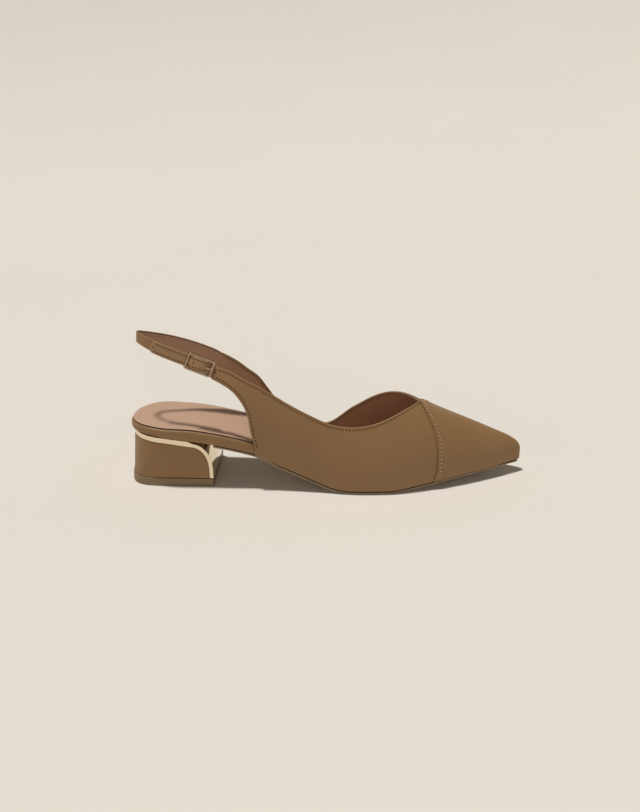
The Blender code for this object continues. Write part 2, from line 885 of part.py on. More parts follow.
def buckle_point(along, out, across):
    """Point in the buckle's own flat frame: along the strap, outward, across."""
    length, centre, direction, width, outward, wide = STRAP_FRAMES
    k = int(np.argmin(np.abs(length - BUCKLE_PLACE)))
    base = Vector(centre[k])
    return base + Vector(direction[k]) * along + Vector(outward[k]) * out + Vector(width[k]) * across


def ribbon(name, path, width, thick, look, tip=0.0, skew=None):
    """A flat strap along a path of (place, out) pairs on the strap's line, with a width at each."""
    count = len(path)
    path = np.array(path)
    upper_line = offset_line(path, thick / 2)
    lower_line = offset_line(path, -thick / 2)
    points, faces = [], []
    for k in range(count):
        half = width(path[k][0]) / 2
        if tip and k < 4:
            half -= tip * (1 - math.sqrt(1 - (1 - k / 4) ** 2))
        turn = half * skew(path[k][0]) if skew else 0.0
        for line in (upper_line, lower_line):
            points.append(strap_point(line[k][0] - turn, line[k][1], -half))
            points.append(strap_point(line[k][0] + turn, line[k][1], half))
    for k in range(count - 1):
        a, b = 4 * k, 4 * k + 4
        faces += [(a, a + 1, b + 1, b), (a + 2, b + 2, b + 3, a + 3)]
        faces += [(a, b, b + 2, a + 2), (a + 1, a + 3, b + 3, b + 1)]
    end = 4 * (count - 1)
    faces += [(0, 2, 3, 1), (end, end + 1, end + 3, end + 2)]
    return build_object(name, points, faces, look)


def smooth_path(points, count):
    """A finer path through (place, out) points."""
    full = [(a, b, 0.0) for a, b in points]
    return [tuple(spline(full, k / count)[:2]) for k in range(count + 1)]


CENTRE_BAR_OUT = 0.0
CENTRE_BAR_RADIUS = 0.0005
HALF_BUCKLE = BUCKLE_LENGTH / 2 - BAR / 2
UNDER_BAR = BUCKLE_OUT - BAR_DEPTH / 2 - GAP - STRAP_THICK / 2 - 0.0001
LOOP_RADIUS = CENTRE_BAR_RADIUS + GAP + STRAP_THICK / 2
OVER_BAR = CENTRE_BAR_OUT + CENTRE_BAR_RADIUS + 2 * GAP + 1.5 * STRAP_THICK


def sling_width(place):
    """Width of the sling, which grows from the heel to the inner wing."""
    return float(np.interp(place, STRAP_FRAMES[0], STRAP_FRAMES[5]))


def sling_skew(place):
    """How far the sling's sections turn from square to the line of the inner wing's end."""
    length, centre, along, width, outward, wide = STRAP_FRAMES
    low, high = inner_wing_end()
    end = high - low
    full = end.dot(Vector(along[-1])) / end.dot(Vector(width[-1]))
    near = min(max(1 - (length[-1] - place) / SKEW_REACH, 0.0), 1.0)
    return full * near * near * (3 - 2 * near)


def sling_strap(look):
    """Back strap, from the inner wing round the heel, folded over the buckle's centre bar."""
    total = STRAP_FRAMES[0][-1]
    wing_end = total - GAP
    lower = UNDER_BAR - STRAP_THICK - GAP
    bar = BUCKLE_PLACE
    fold = []
    for k in range(9):
        turn = math.pi * k / 8
        out = CENTRE_BAR_OUT + LOOP_RADIUS * math.cos(turn)
        fold.append((bar - LOOP_RADIUS * math.sin(turn), out))
    lead = smooth_path(
        [fold[-1], (bar + 0.004, lower - 0.0002), (bar + 0.011, lower), (bar + 0.022, lower)], 12
    )
    path = fold + lead[1:]
    rest = np.linspace(bar + 0.022, wing_end, 46)
    for place in rest[1:]:
        settle = min(max((place - bar - BILLET_REACH - 0.002) / 0.018, 0.0), 1.0)
        path.append((place, lower * (1 - settle * settle * (3 - 2 * settle))))
    return ribbon("sling_strap", path, sling_width, STRAP_THICK, look, skew=sling_skew)


def buckle_strap(look):
    """Front strap, from the outer wing under the buckle's front bar and back over the sling."""
    bar = BUCKLE_PLACE
    route = [
        (WING_BUTT, 0.0001),
        (bar - 0.0062, 0.0007),
        (bar - 0.0032, OVER_BAR - 0.0005),
        (bar, OVER_BAR),
        (bar + 0.0032, OVER_BAR - 0.0005),
        (bar + HALF_BUCKLE, UNDER_BAR),
        (bar + 0.0150, UNDER_BAR),
        (bar + BILLET_REACH, UNDER_BAR),
    ]
    path = smooth_path(route, 44)
    return ribbon(
        "buckle_strap", list(reversed(path)), lambda place: BILLET_WIDTH, STRAP_THICK, look, 0.0028
    )


def bar_box(name, along, out, across, look):
    """A straight square bar between pairs of limits in the buckle's frame."""
    points = [
        buckle_point(a, o, c)
        for a in along
        for o in out
        for c in across
    ]
    faces = [(0, 1, 3, 2), (4, 6, 7, 5), (0, 4, 5, 1), (2, 3, 7, 6), (0, 2, 6, 4), (1, 5, 7, 3)]
    return build_object(name, points, faces, look)


def buckle(look):
    """Rectangular buckle with a sunk centre bar between two ears."""
    half_long, half_wide = BUCKLE_LENGTH / 2, BUCKLE_WIDTH / 2
    low, high = BUCKLE_OUT - BAR_DEPTH / 2, BUCKLE_OUT + BAR_DEPTH / 2
    radius = CENTRE_BAR_RADIUS
    frame = bar_box("buckle", (-half_long, half_long), (low, high), (-half_wide, half_wide), look)
    hole = bar_box("hole", (-half_long + BAR, half_long - BAR), (low - 0.01, high + 0.01),
                   (-half_wide + BAR, half_wide - BAR), look)
    combine(frame, hole, "DIFFERENCE")
    ear_in, ear_out = half_wide - BAR + 0.0001, half_wide - 0.0001
    for across in ((-ear_out, -ear_in), (ear_in, ear_out)):
        ear = bar_box("ear", (-0.0011, 0.0011), (CENTRE_BAR_OUT - radius - 0.0001, BUCKLE_OUT),
                      across, look)
        combine(frame, ear, "UNION")
    bar = bar_box("bar", (-radius, radius), (CENTRE_BAR_OUT - radius, CENTRE_BAR_OUT + radius),
                  (-half_wide + 0.0005, half_wide - 0.0005), look)
    return combine(frame, bar, "UNION")


def buckle_prong(look):
    """Prong, from the strap's hole to the buckle's front bar."""
    rest = BUCKLE_OUT + BAR_DEPTH / 2 + GAP + PRONG_THICK / 2
    route = (
        (-0.0040, rest + 0.0003, 0.00055),
        (-HALF_BUCKLE, rest, 0.00055),
        (-HALF_BUCKLE - 0.0009, rest - 0.0001, 0.00040),
    )
    points, faces = [], []
    for place, out, half in route:
        for o, c in ((-1, -1), (-1, 1), (1, 1), (1, -1)):
            points.append(buckle_point(place, out + o * PRONG_THICK / 2, c * half))
    for k in range(len(route) - 1):
        for c in range(4):
            a, b = 4 * k + c, 4 * k + (c + 1) % 4
            faces.append((a, b, b + 4, a + 4))
    end = 4 * (len(route) - 1)
    faces += [(0, 1, 2, 3), (end, end + 1, end + 2, end + 3)]
    return build_object("buckle_prong", points, faces, look)


def centre_on_floor(pieces):
    """Move all pieces so that the origin is the middle of the bounding box, at floor height."""
    corners = np.array([v.co for piece in pieces for v in piece.data.vertices])
    low, high = corners.min(axis=0), corners.max(axis=0)
    shift = Vector((-(low[0] + high[0]) / 2, -(low[1] + high[1]) / 2, -low[2]))
    for piece in pieces:
        for vertex in piece.data.vertices:
            vertex.co += shift
    return shift


def main():
    clear_scene()
    camel = material("camel_leather", CAMEL, 0.45)
    band = material("footbed_wrap", CAMEL_SHADE, 0.45)
    nude = material("nude_sock", NUDE, 0.70)
    olive = material("olive_rubber", OLIVE, 0.60)
    sole = material("dark_outsole", DARK_TAN, 0.60)
    gold = material("pale_gold", GOLD, 0.15, 1.0)
    pieces = [
        upper(camel),
        toe_cap(camel),
        insole(band),
        sock_lining(nude),
        outsole(sole),
        heel_block(camel),
        heel_trim(gold),
        top_lift(olive),
        sling_strap(camel),
        buckle_strap(camel),
        buckle(gold),
        buckle_prong(gold),
    ]
    return centre_on_floor(pieces)


main()
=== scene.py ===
import math

import bmesh
import bpy
import numpy as np
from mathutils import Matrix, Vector, kdtree


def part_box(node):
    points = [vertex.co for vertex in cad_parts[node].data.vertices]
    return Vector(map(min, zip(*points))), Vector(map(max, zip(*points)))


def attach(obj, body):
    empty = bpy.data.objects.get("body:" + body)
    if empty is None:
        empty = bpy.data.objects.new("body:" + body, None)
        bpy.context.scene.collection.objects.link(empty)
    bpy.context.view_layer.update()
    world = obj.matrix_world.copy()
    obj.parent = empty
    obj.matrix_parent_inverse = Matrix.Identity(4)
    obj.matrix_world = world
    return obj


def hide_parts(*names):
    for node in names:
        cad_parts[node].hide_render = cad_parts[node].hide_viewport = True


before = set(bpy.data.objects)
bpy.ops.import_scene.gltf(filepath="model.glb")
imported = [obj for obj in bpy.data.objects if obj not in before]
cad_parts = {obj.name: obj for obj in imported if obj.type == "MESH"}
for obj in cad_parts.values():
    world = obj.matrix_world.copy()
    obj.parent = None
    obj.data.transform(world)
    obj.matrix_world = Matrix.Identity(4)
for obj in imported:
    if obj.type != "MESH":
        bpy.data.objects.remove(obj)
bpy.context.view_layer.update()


# Last. The wooden form over which a maker pulls the shoe: every piece follows its plan, its
# underside and its ridge. Places along it count from the back of the heel, x, and up its side from
# 0 at the sole to 1 on the ridge, girth. Lengths are in metres.

OUTER = -1
INNER = 1
LENGTH = 0.262
BALL_WIDTH = 0.072
SEAT_WIDTH = 0.0548
HEEL_RISE = 0.0333
VAMP_HEIGHT = 0.0532
OUTSOLE_THICK = 0.0022
GAP = 0.0003
HEEL_LENGTH = 0.0562

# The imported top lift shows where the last's own zero lies in the frame
lift_low, lift_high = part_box("top_lift")
LAST_X = lift_high.x - HEEL_LENGTH
LAST_Y = (lift_low.y + lift_high.y) / 2

SEAT_BACK = -0.0028
SEAT_POWER = 2.1
PLAN = (
    # x      outer   inner   ridge
    (0.103, 0.381, 0.381, 0.000),
    (0.230, 0.383, 0.358, 0.000),
    (0.345, 0.388, 0.335, 0.015),
    (0.458, 0.422, 0.378, 0.030),
    (0.573, 0.472, 0.462, 0.038),
    (0.649, 0.458, 0.508, 0.042),
    (0.725, 0.388, 0.486, 0.048),
    (0.802, 0.275, 0.418, 0.080),
    (0.878, 0.143, 0.335, 0.112),
    (0.935, 0.030, 0.265, 0.132),
    (0.977, -0.067, 0.208, 0.138),
    (1.000, -0.139, 0.139, 0.139),
)
UNDERSIDE = (
    # x     height
    (0.000, 1.000),
    (0.040, 0.998),
    (0.120, 0.930),
    (0.220, 0.818),
    (0.320, 0.645),
    (0.400, 0.400),
    (0.480, 0.145),
    (0.515, 0.045),
    (0.555, 0.000),
    (0.660, 0.000),
    (0.740, 0.065),
    (0.860, 0.148),
    (1.000, 0.190),
)
RIDGE = (
    # x     height
    (0.200, 1.740),
    (0.270, 1.745),
    (0.320, 1.690),
    (0.380, 1.580),
    (0.460, 1.435),
    (0.535, 1.295),
    (0.610, 1.165),
    (0.668, 1.090),
    (0.700, 1.045),
    (0.730, 0.985),
    (0.780, 0.862),
    (0.862, 0.690),
    (0.927, 0.550),
    (0.974, 0.445),
    (0.992, 0.380),
    (1.000, 0.290),
)
ROUNDNESS = ((0.20, 2.05), (0.50, 2.15), (0.75, 2.20), (1.00, 2.10))
NOSE = 0.9


def column(rows, index, scale=1.0):
    """One column of a table, in metres."""
    return np.array([row[index] for row in rows], float) * scale


def unit(vectors):
    """Vectors scaled to a length of one."""
    return vectors / np.linalg.norm(vectors, axis=-1)[..., None]


def ease(t):
    """A share from 0 to 1 that starts and ends gently."""
    return t * t * (3 - 2 * t)


def hermite(t, low, low_slope, high, high_slope):
    """A cubic between two values, by their slopes over the whole step."""
    from_low = (low * (1 + 2 * t) + low_slope * t) * (1 - t) ** 2
    return from_low + (high * (3 - 2 * t) + high_slope * (t - 1)) * t * t


def smooth(x, xs, ys):
    """Heights at x of a monotone cubic through the points, which never overshoots them."""
    xs, ys = np.asarray(xs, float), np.asarray(ys, float)
    if xs[0] > xs[-1]:
        xs, ys = xs[::-1], ys[::-1]
    steps = np.diff(xs)
    grades = np.diff(ys) / steps
    slopes = np.zeros_like(ys)
    slopes[0], slopes[-1] = grades[0], grades[-1]
    for k in range(1, len(xs) - 1):
        if grades[k - 1] * grades[k] > 0:
            first = 2 * steps[k] + steps[k - 1]
            second = steps[k] + 2 * steps[k - 1]
            slopes[k] = (first + second) / (first / grades[k - 1] + second / grades[k])
    x = np.clip(x, xs[0], xs[-1])
    k = np.clip(np.searchsorted(xs, x) - 1, 0, len(xs) - 2)
    width = xs[k + 1] - xs[k]
    return hermite((x - xs[k]) / width, ys[k], slopes[k] * width, ys[k + 1], slopes[k + 1] * width)


def table_at(x, rows, index=1, scale=1.0):
    """A table's curve at x."""
    return smooth(x, column(rows, 0, LENGTH), column(rows, index, scale))


def toe_warp(x):
    """Square root of the distance to the tip, in which a rounded nose is a straight line."""
    return np.sqrt(np.maximum(LENGTH - np.asarray(x, float), 0.0))


def toe_table_at(x, rows, index, scale):
    """A table's curve at x, where it ends in the rounded nose."""
    return smooth(toe_warp(x), toe_warp(column(rows, 0, LENGTH)), column(rows, index, scale))


def plan_edge(side, x):
    """Y of the upper's lower edge on one side, round the heel seat and along the foot."""
    x = np.asarray(x, float)
    square = PLAN[0][0] * LENGTH
    reach = np.clip((square - x) / (square - SEAT_BACK), 0.0, 1.0)
    seat = SEAT_WIDTH / 2 * (1 - reach ** SEAT_POWER) ** (1 / SEAT_POWER)
    foot = toe_table_at(x, PLAN, 1 if side == OUTER else 2, BALL_WIDTH)
    return side * np.where(x < square, seat, foot)


def ridge_y(x):
    """Y of the ridge, which leans to the inner side toward the toe."""
    return toe_table_at(x, PLAN, 3, BALL_WIDTH)


def ridge_z(x):
    """Height of the last's ridge."""
    return toe_table_at(x, RIDGE, 1, VAMP_HEIGHT)


def underside(x):
    """Height of the outsole's underside."""
    return table_at(x, UNDERSIDE, 1, HEEL_RISE)


def lasting_z(x):
    """Height on which footbed and upper stand, just above the outsole."""
    return underside(x) + OUTSOLE_THICK + GAP


def offset_line(points, distance):
    """A plane line moved to its left by a distance."""
    points = np.asarray(points, float)
    along = unit(np.gradient(points, axis=0))
    return points + distance * np.stack([-along[:, 1], along[:, 0]], axis=1)


def advancing(moved):
    """The points of a moved line whose x still grows."""
    keep = np.concatenate([[True], np.diff(np.maximum.accumulate(moved[:, 0])) > 0])
    return moved[keep, 0], moved[keep, 1]


LAST_STATIONS = SEAT_BACK + (LENGTH - SEAT_BACK) * (1 - np.cos(np.linspace(0, math.pi, 800))) / 2
OFFSET_PLANS = {}
OFFSET_RIDGES = {}


def offset_plan(side, distance):
    """One side of the plan, moved outward by a distance, as arrays of x and y."""
    key = (side, round(distance, 6))
    if key not in OFFSET_PLANS:
        edge = np.stack([LAST_STATIONS, plan_edge(side, LAST_STATIONS)], axis=1)
        OFFSET_PLANS[key] = advancing(offset_line(edge, side * distance))
    return OFFSET_PLANS[key]


def offset_edge(side, x, distance):
    """Y of the plan moved outward by a distance."""
    return np.interp(x, *offset_plan(side, distance))


def offset_ridge(x, distance):
    """Height of the ridge moved outward by a distance."""
    key = round(distance, 6)
    if key not in OFFSET_RIDGES:
        xs = LAST_STATIONS[LAST_STATIONS > RIDGE[0][0] * LENGTH]
        OFFSET_RIDGES[key] = advancing(offset_line(np.stack([xs, ridge_z(xs)], axis=1), distance))
    return np.interp(x, *OFFSET_RIDGES[key])


def place(points):
    """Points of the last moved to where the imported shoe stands."""
    return np.asarray(points, float) + np.array([LAST_X, LAST_Y, 0.0])


def last_surface(side, x, girth, distance=0.0):
    """Points of the last's surface, or of a surface a distance outside it."""
    x, girth = np.broadcast_arrays(np.asarray(x, float), np.asarray(girth, float))
    near_toe = np.maximum((x / LENGTH - NOSE) / (1 - NOSE), 0.0)
    moved = x + distance * near_toe ** 2
    middle = ridge_y(x)
    edge = np.where(x > LENGTH - 1e-6, middle, offset_edge(side, moved, distance))
    power = 2 / table_at(x, ROUNDNESS)
    turn = np.clip(girth, 0.0, 1.0) * math.pi / 2
    spread = np.where(girth > 1 - 1e-9, 0.0, np.maximum(np.cos(turn), 0.0) ** power)
    foot = lasting_z(x)
    y = middle + (edge - middle) * spread
    z = foot + (offset_ridge(moved, distance) - foot) * np.sin(turn) ** power
    return place(np.stack([moved, y, z], axis=-1))


# Outsole. A thin moulded sheet from the heel breast to the tip, cemented under the lasted upper, with
# a smooth tan edge whose top is painted dark as shade under the upper. Behind the upper its edge is
# tucked under the footbed.

SOLE_INSET = 0.0005
SOLE_CORNER = 0.0007
TIP_START = 0.94
WAIST_END = 0.102
WAIST_FADE = 0.020
WAIST_TUCK = 0.0035
SIDE_STATIONS = 150
RING_SIZE = 2 * (SIDE_STATIONS + 1)
CORNER_ROWS = 5
TIP_FULL = 0.99
# The edge above the first level is painted shade, taller toward the tip where that level sits lower
SOLE_LEVELS = (
    # inset   rise    rise at the tip
    (0.00000, 0.0013, 0.0006),
    (0.00045, 0.0015, 0.0008),
    (0.00055, OUTSOLE_THICK, OUTSOLE_THICK),
)


def waist_tuck(x):
    """How far the outsole's edge is hidden under the footbed behind the upper."""
    behind = np.clip((WAIST_END - x) / WAIST_FADE, 0.0, 1.0)
    return WAIST_TUCK * ease(behind)


def plan_ring(inset, height, back=None, tuck=None):
    """A closed ring inside the plan: the outer side from back to toe, then the inner side back."""
    outer_x, outer_y = offset_plan(OUTER, -inset)
    inner_x, inner_y = offset_plan(INNER, -inset)
    low, high = max(outer_x[0], inner_x[0]), min(outer_x[-1], inner_x[-1])
    probe = np.linspace(low, high, 600)
    apart = np.interp(probe, inner_x, inner_y) - np.interp(probe, outer_x, outer_y)
    open_part = probe[apart > 0]
    low, high = open_part[0], open_part[-1]
    share = np.arange(SIDE_STATIONS + 1) / SIDE_STATIONS
    if back is None:
        xs = low + (high - low) * (1 - np.cos(math.pi * share)) / 2
    else:
        xs = back + (high - back) * np.sin(math.pi / 2 * share)
    pull = 0.0 if tuck is None else tuck(xs)
    outer = np.stack([xs, np.interp(xs, outer_x, outer_y) + pull, height(xs)], axis=1)
    inner = np.stack([xs, np.interp(xs, inner_x, inner_y) - pull, height(xs)], axis=1)
    return place(np.concatenate([outer, inner[::-1]]))


def tube_faces(stations, size, ring=False):
    """Quads of a tube between stations, closed to a ring where asked."""
    faces = []
    for k in range(stations if ring else stations - 1):
        near, far = k * size, (k + 1) % stations * size
        for c in range(size):
            d = (c + 1) % size
            faces.append((near + c, near + d, far + d, far + c))
    return faces


def stacked_faces(levels, size):
    """Quads between stacked rings, and strips across the first and the last ring."""
    faces = tube_faces(levels, size)
    for level in (0, levels - 1):
        for k in range(size // 2 - 1):
            a, c = level * size + k, level * size + size - 1 - k
            faces.append((a, a + 1, c - 1, c))
    return faces


def make_piece(name, shape, finishes, stands_for, sharp_degrees=50.0):
    """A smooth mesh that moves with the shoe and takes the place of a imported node. Its shape is points,
    faces and, where it has several finishes, the number of the finish of each face."""
    points, faces, *zones = shape
    mesh = bpy.data.meshes.new(name)
    mesh.from_pydata([tuple(p) for p in points], [], faces)
    if zones:
        mesh.polygons.foreach_set("material_index", zones[0])
    form = bmesh.new()
    form.from_mesh(mesh)
    bmesh.ops.remove_doubles(form, verts=form.verts, dist=0.00001)
    bmesh.ops.dissolve_degenerate(form, edges=form.edges, dist=0.000005)
    bmesh.ops.recalc_face_normals(form, faces=form.faces)
    if form.calc_volume(signed=True) < 0:
        bmesh.ops.reverse_faces(form, faces=form.faces)
    form.to_mesh(mesh)
    form.free()
    mesh.shade_smooth()
    mesh.set_sharp_from_angle(angle=math.radians(sharp_degrees))
    piece = bpy.data.objects.new(name, mesh)
    bpy.context.scene.collection.objects.link(piece)
    for finish in finishes:
        mesh.materials.append(finish)
    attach(piece, "root")
    if stands_for:
        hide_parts(stands_for)
    return piece


def ring_piece(name, rings, finishes, stands_for, shaded=range(0)):
    """A piece of stacked rings, of which a range of faces takes the painted shade finish."""
    faces = stacked_faces(len(rings), RING_SIZE)
    zones = [1 if k in shaded else 0 for k in range(len(faces))]
    make_piece(name, (np.concatenate(rings), faces, zones), finishes, stands_for)


def set_inputs(node, values):
    """Set some of a node's inputs by name."""
    for name, value in values.items():
        node.inputs[name.replace("_", " ")].default_value = value
    return node


def add_node(tree, kind, **inputs):
    """A shader node with some of its inputs set."""
    return set_inputs(tree.nodes.new(kind), inputs)


def connect(tree, *links):
    """Links, each from a node's output to another node's input."""
    for source, output, target, into in links:
        tree.links.new(source.outputs[output], target.inputs[into])


def new_group(name, inputs, output, kind):
    """A node group with its inputs and its output, and the two nodes that stand for them."""
    group = bpy.data.node_groups.new(name, "ShaderNodeTree")
    for label, label_kind in inputs.items():
        group.interface.new_socket(label, in_out="INPUT", socket_type=label_kind)
    group.interface.new_socket(output, in_out="OUTPUT", socket_type=kind)
    return group, group.nodes.new("NodeGroupInput"), group.nodes.new("NodeGroupOutput")


VECTOR, COLOUR, NUMBER = "NodeSocketVector", "NodeSocketColor", "NodeSocketFloat"


def uneven_colour_group():
    """Colour that drifts slowly between two tones, with finer flecks: dye taken unevenly."""
    inputs = {"Position": VECTOR, "Light tone": COLOUR, "Dark tone": COLOUR}
    inputs |= {"Patch scale": NUMBER, "Fleck scale": NUMBER, "Fleck share": NUMBER}
    group, start, end = new_group("uneven_colour", inputs, "Color", COLOUR)
    patch = add_node(group, "ShaderNodeTexNoise", Detail=3.0, Roughness=0.55)
    fleck = add_node(group, "ShaderNodeTexNoise", Detail=4.0, Roughness=0.65)
    blend = group.nodes.new("ShaderNodeMix")
    blend.data_type = "FLOAT"
    spread = add_node(group, "ShaderNodeMapRange", From_Min=0.30, From_Max=0.70)
    tones = group.nodes.new("ShaderNodeMix")
    tones.data_type = "RGBA"
    connect(
        group,
        (start, "Position", patch, "Vector"),
        (start, "Position", fleck, "Vector"),
        (start, "Patch scale", patch, "Scale"),
        (start, "Fleck scale", fleck, "Scale"),
        (start, "Fleck share", blend, "Factor"),
        (patch, "Fac", blend, "A"),
        (fleck, "Fac", blend, "B"),
        (blend, "Result", spread, "Value"),
        (spread, "Result", tones, 0),
        (start, "Dark tone", tones, 6),
        (start, "Light tone", tones, 7),
        (tones, 2, end, "Color"),
    )
    return group


def fine_grain_group():
    """Small rounded cells with pores and a slow swell, as a height for a bump."""
    inputs = {"Position": VECTOR, "Cell scale": NUMBER, "Swell scale": NUMBER, "Swell share": NUMBER}
    group, start, end = new_group("fine_grain", inputs, "Height", NUMBER)
    warp = add_node(group, "ShaderNodeTexNoise", Detail=2.0, Scale=900.0)
    bend = group.nodes.new("ShaderNodeVectorMath")
    bend.operation = "MULTIPLY_ADD"
    bend.inputs[1].default_value = (0.0006, 0.0006, 0.0006)
    cells = group.nodes.new("ShaderNodeTexVoronoi")
    cells.feature = "SMOOTH_F1"
    cells.inputs["Smoothness"].default_value = 0.35
    swell = add_node(group, "ShaderNodeTexNoise", Detail=2.0, Roughness=0.5)
    blend = group.nodes.new("ShaderNodeMix")
    blend.data_type = "FLOAT"
    connect(
        group,
        (start, "Position", warp, "Vector"),
        (warp, "Color", bend, 0),
        (start, "Position", bend, 2),
        (bend, "Vector", cells, "Vector"),
        (start, "Cell scale", cells, "Scale"),
        (start, "Position", swell, "Vector"),
        (start, "Swell scale", swell, "Scale"),
        (start, "Swell share", blend, "Factor"),
        (cells, "Distance", blend, "A"),
        (swell, "Fac", blend, "B"),
        (blend, "Result", end, "Height"),
    )
    return group


UNEVEN_COLOUR = uneven_colour_group()
FINE_GRAIN = fine_grain_group()


def make_finish(name, roughness, light, dark, dye, grain=None, **others):
    """A material with uneven colour and a fine grain. Dye gives the scales of patches and flecks and
    the flecks' share, grain the scales of cells and swell, the swell's share, depth and strength."""
    finish = bpy.data.materials.new(name)
    finish.use_nodes = True
    tree = finish.node_tree
    shader = set_inputs(tree.nodes["Principled BSDF"], {"Roughness": roughness, **others})
    where = tree.nodes.new("ShaderNodeTexCoord")
    colour = tree.nodes.new("ShaderNodeGroup")
    colour.node_tree = UNEVEN_COLOUR
    labels = ("Light tone", "Dark tone", "Patch scale", "Fleck scale", "Fleck share")
    set_inputs(colour, dict(zip(labels, ((*light, 1.0), (*dark, 1.0), *dye))))
    connect(tree, (where, "Object", colour, "Position"), (colour, "Color", shader, "Base Color"))
    if grain:
        height = tree.nodes.new("ShaderNodeGroup")
        height.node_tree = FINE_GRAIN
        set_inputs(height, dict(zip(("Cell scale", "Swell scale", "Swell share"), grain)))
        bump = add_node(tree, "ShaderNodeBump", Distance=grain[3], Strength=grain[4])
        connect(tree, (where, "Object", height, "Position"), (height, "Height", bump, "Height"))
        connect(tree, (bump, "Normal", shader, "Normal"))
    return finish


def outsole_ring(inset, rise, tip_rise):
    """A level of the outsole, whose inset fades and whose height changes toward the tip."""
    back = HEEL_LENGTH + 2 * GAP

    def height(x):
        near_tip = np.clip((x / LENGTH - TIP_START) / (1 - TIP_START), 0.0, 1.0)
        return underside(x) + rise + (tip_rise - rise) * near_tip

    ring = plan_ring(SOLE_INSET + inset, height, back, waist_tuck)
    long_ring = plan_ring(inset, height, back, waist_tuck)
    share = np.clip(((ring[:, :1] - LAST_X) / LENGTH - TIP_START) / (TIP_FULL - TIP_START), 0.0, 1.0)
    return ring + (long_ring - ring) * share


def outsole_rings():
    """Levels of the outsole, with its lower edge rounded."""
    rings = []
    for k in range(CORNER_ROWS + 1):
        turn = math.pi / 2 * k / CORNER_ROWS
        rise = SOLE_CORNER * (1 - math.cos(turn))
        rings.append(outsole_ring(SOLE_CORNER * (1 - math.sin(turn)), rise, rise * 0.6))
    return rings + [outsole_ring(*level) for level in SOLE_LEVELS]


# Painted shade: a nearly black brown put on faces where shade falls, in the sole's edge line, grooves and
# holes
SHADE_FINISH = make_finish(
    "seam_shade", 0.8, (0.060, 0.034, 0.020), (0.040, 0.022, 0.013), (60.0, 600.0, 0.35)
)
# Matt tan rubber
SOLE_FINISH = make_finish(
    "outsole_rubber",
    0.55,
    (0.330, 0.235, 0.145),
    (0.270, 0.185, 0.108),
    (60.0, 900.0, 0.35),
    (2500.0, 400.0, 0.3, 0.0002, 0.35),
)
rings = outsole_rings()
# Faces from the first level to the top take the painted shade finish
painted_shade_rows = range((len(rings) - 3) * RING_SIZE, (len(rings) - 1) * RING_SIZE)
ring_piece(
    "outsole_sheet", rings, [SOLE_FINISH, SHADE_FINISH], "outsole", painted_shade_rows
)


# Footbed. A board with thin padding, wrapped in the upper's leather, which shows as a band round the
# open heel. The sock is a thin pinkish leather, glued on with its edge just inside the band's, and an
# embossed line runs round it. Its side edge is painted dark as shade.

LEATHER = 0.0016
FOOTBED_THICK = 0.0074
FOOTBED = (
    # x    thickness
    (0.00, 0.65),
    (0.08, 0.76),
    (0.18, 1.00),
    (0.30, 0.97),
    (0.45, 0.76),
    (0.70, 0.57),
    (0.90, 0.41),
    (1.00, 0.35),
)
FOOTBED_INSET = LEATHER + GAP + 0.0002
FOOTBED_CURVE = 0.0010
BAND_ROWS = 14
SOCK_THICK = 0.0008
SOCK_INSET = 0.0014
EMBOSS_INSET = 0.0042
EMBOSS_HALF = 0.0005
EMBOSS_DEPTH = 0.00022


def footbed_top(x):
    """Height of the wrapped footbed's upper face."""
    return lasting_z(x) + table_at(x, FOOTBED, 1, FOOTBED_THICK)


def footbed_rings():
    """Levels of the band: a flat side between two rounded edges, and a turned-in top."""
    rings = []
    for k in range(BAND_ROWS + 1):
        height = (1 - math.cos(math.pi * k / BAND_ROWS)) / 2
        inset = FOOTBED_INSET + FOOTBED_CURVE * abs(2 * height - 1) ** 6
        rings.append(
            plan_ring(inset, lambda x, h=height: lasting_z(x) + (footbed_top(x) - lasting_z(x)) * h)
        )
    rings.append(plan_ring(FOOTBED_INSET + 2.5 * FOOTBED_CURVE, footbed_top))
    return rings


def sock_rings():
    """Levels of the sock from its hidden underside to its middle, with the embossed line."""
    edge = FOOTBED_INSET + SOCK_INSET
    top = GAP + SOCK_THICK
    marks = [(0.0, GAP), (0.0, GAP + 0.6 * SOCK_THICK), (0.00008, top - 0.00012), (0.0003, top)]
    marks += [(0.0012, top), (EMBOSS_INSET - 2 * EMBOSS_HALF, top)]
    for k in range(-4, 5):
        dip = EMBOSS_DEPTH * (1 + math.cos(math.pi * k / 4)) / 2
        marks.append((EMBOSS_INSET + EMBOSS_HALF * k / 4, top - dip))
    marks += [(EMBOSS_INSET + 2 * EMBOSS_HALF, top), (0.0075, top), (0.0110, top)]
    return [
        plan_ring(edge + inset, lambda x, up=height: footbed_top(x) + up) for inset, height in marks
    ]


def camel_leather(name, light, dark):
    """Smooth coated leather: even camel colour, very fine grain and a soft satin gloss."""
    grain = (1500.0, 160.0, 0.45, 0.00035, 0.22)
    return make_finish(name, 0.50, light, dark, (28.0, 420.0, 0.25), grain, Specular_IOR_Level=0.45)


LEATHER_FINISH = camel_leather("camel_leather", (0.285, 0.158, 0.064), (0.258, 0.141, 0.055))
# Matt pinkish beige leather with a fine nap
SOCK_FINISH = make_finish(
    "sock_leather",
    0.62,
    (0.560, 0.355, 0.240),
    (0.500, 0.310, 0.205),
    (40.0, 700.0, 0.35),
    (1800.0, 240.0, 0.4, 0.0003, 0.25),
    Sheen_Weight=0.12,
)
ring_piece("footbed_band", footbed_rings(), [LEATHER_FINISH], "insole")
# The sock's side edge takes the painted shade finish
SOCK_SHADED_EDGE = range(2 * RING_SIZE)
ring_piece(
    "sock", sock_rings(), [SOCK_FINISH, SHADE_FINISH], "sock_lining", SOCK_SHADED_EDGE
)
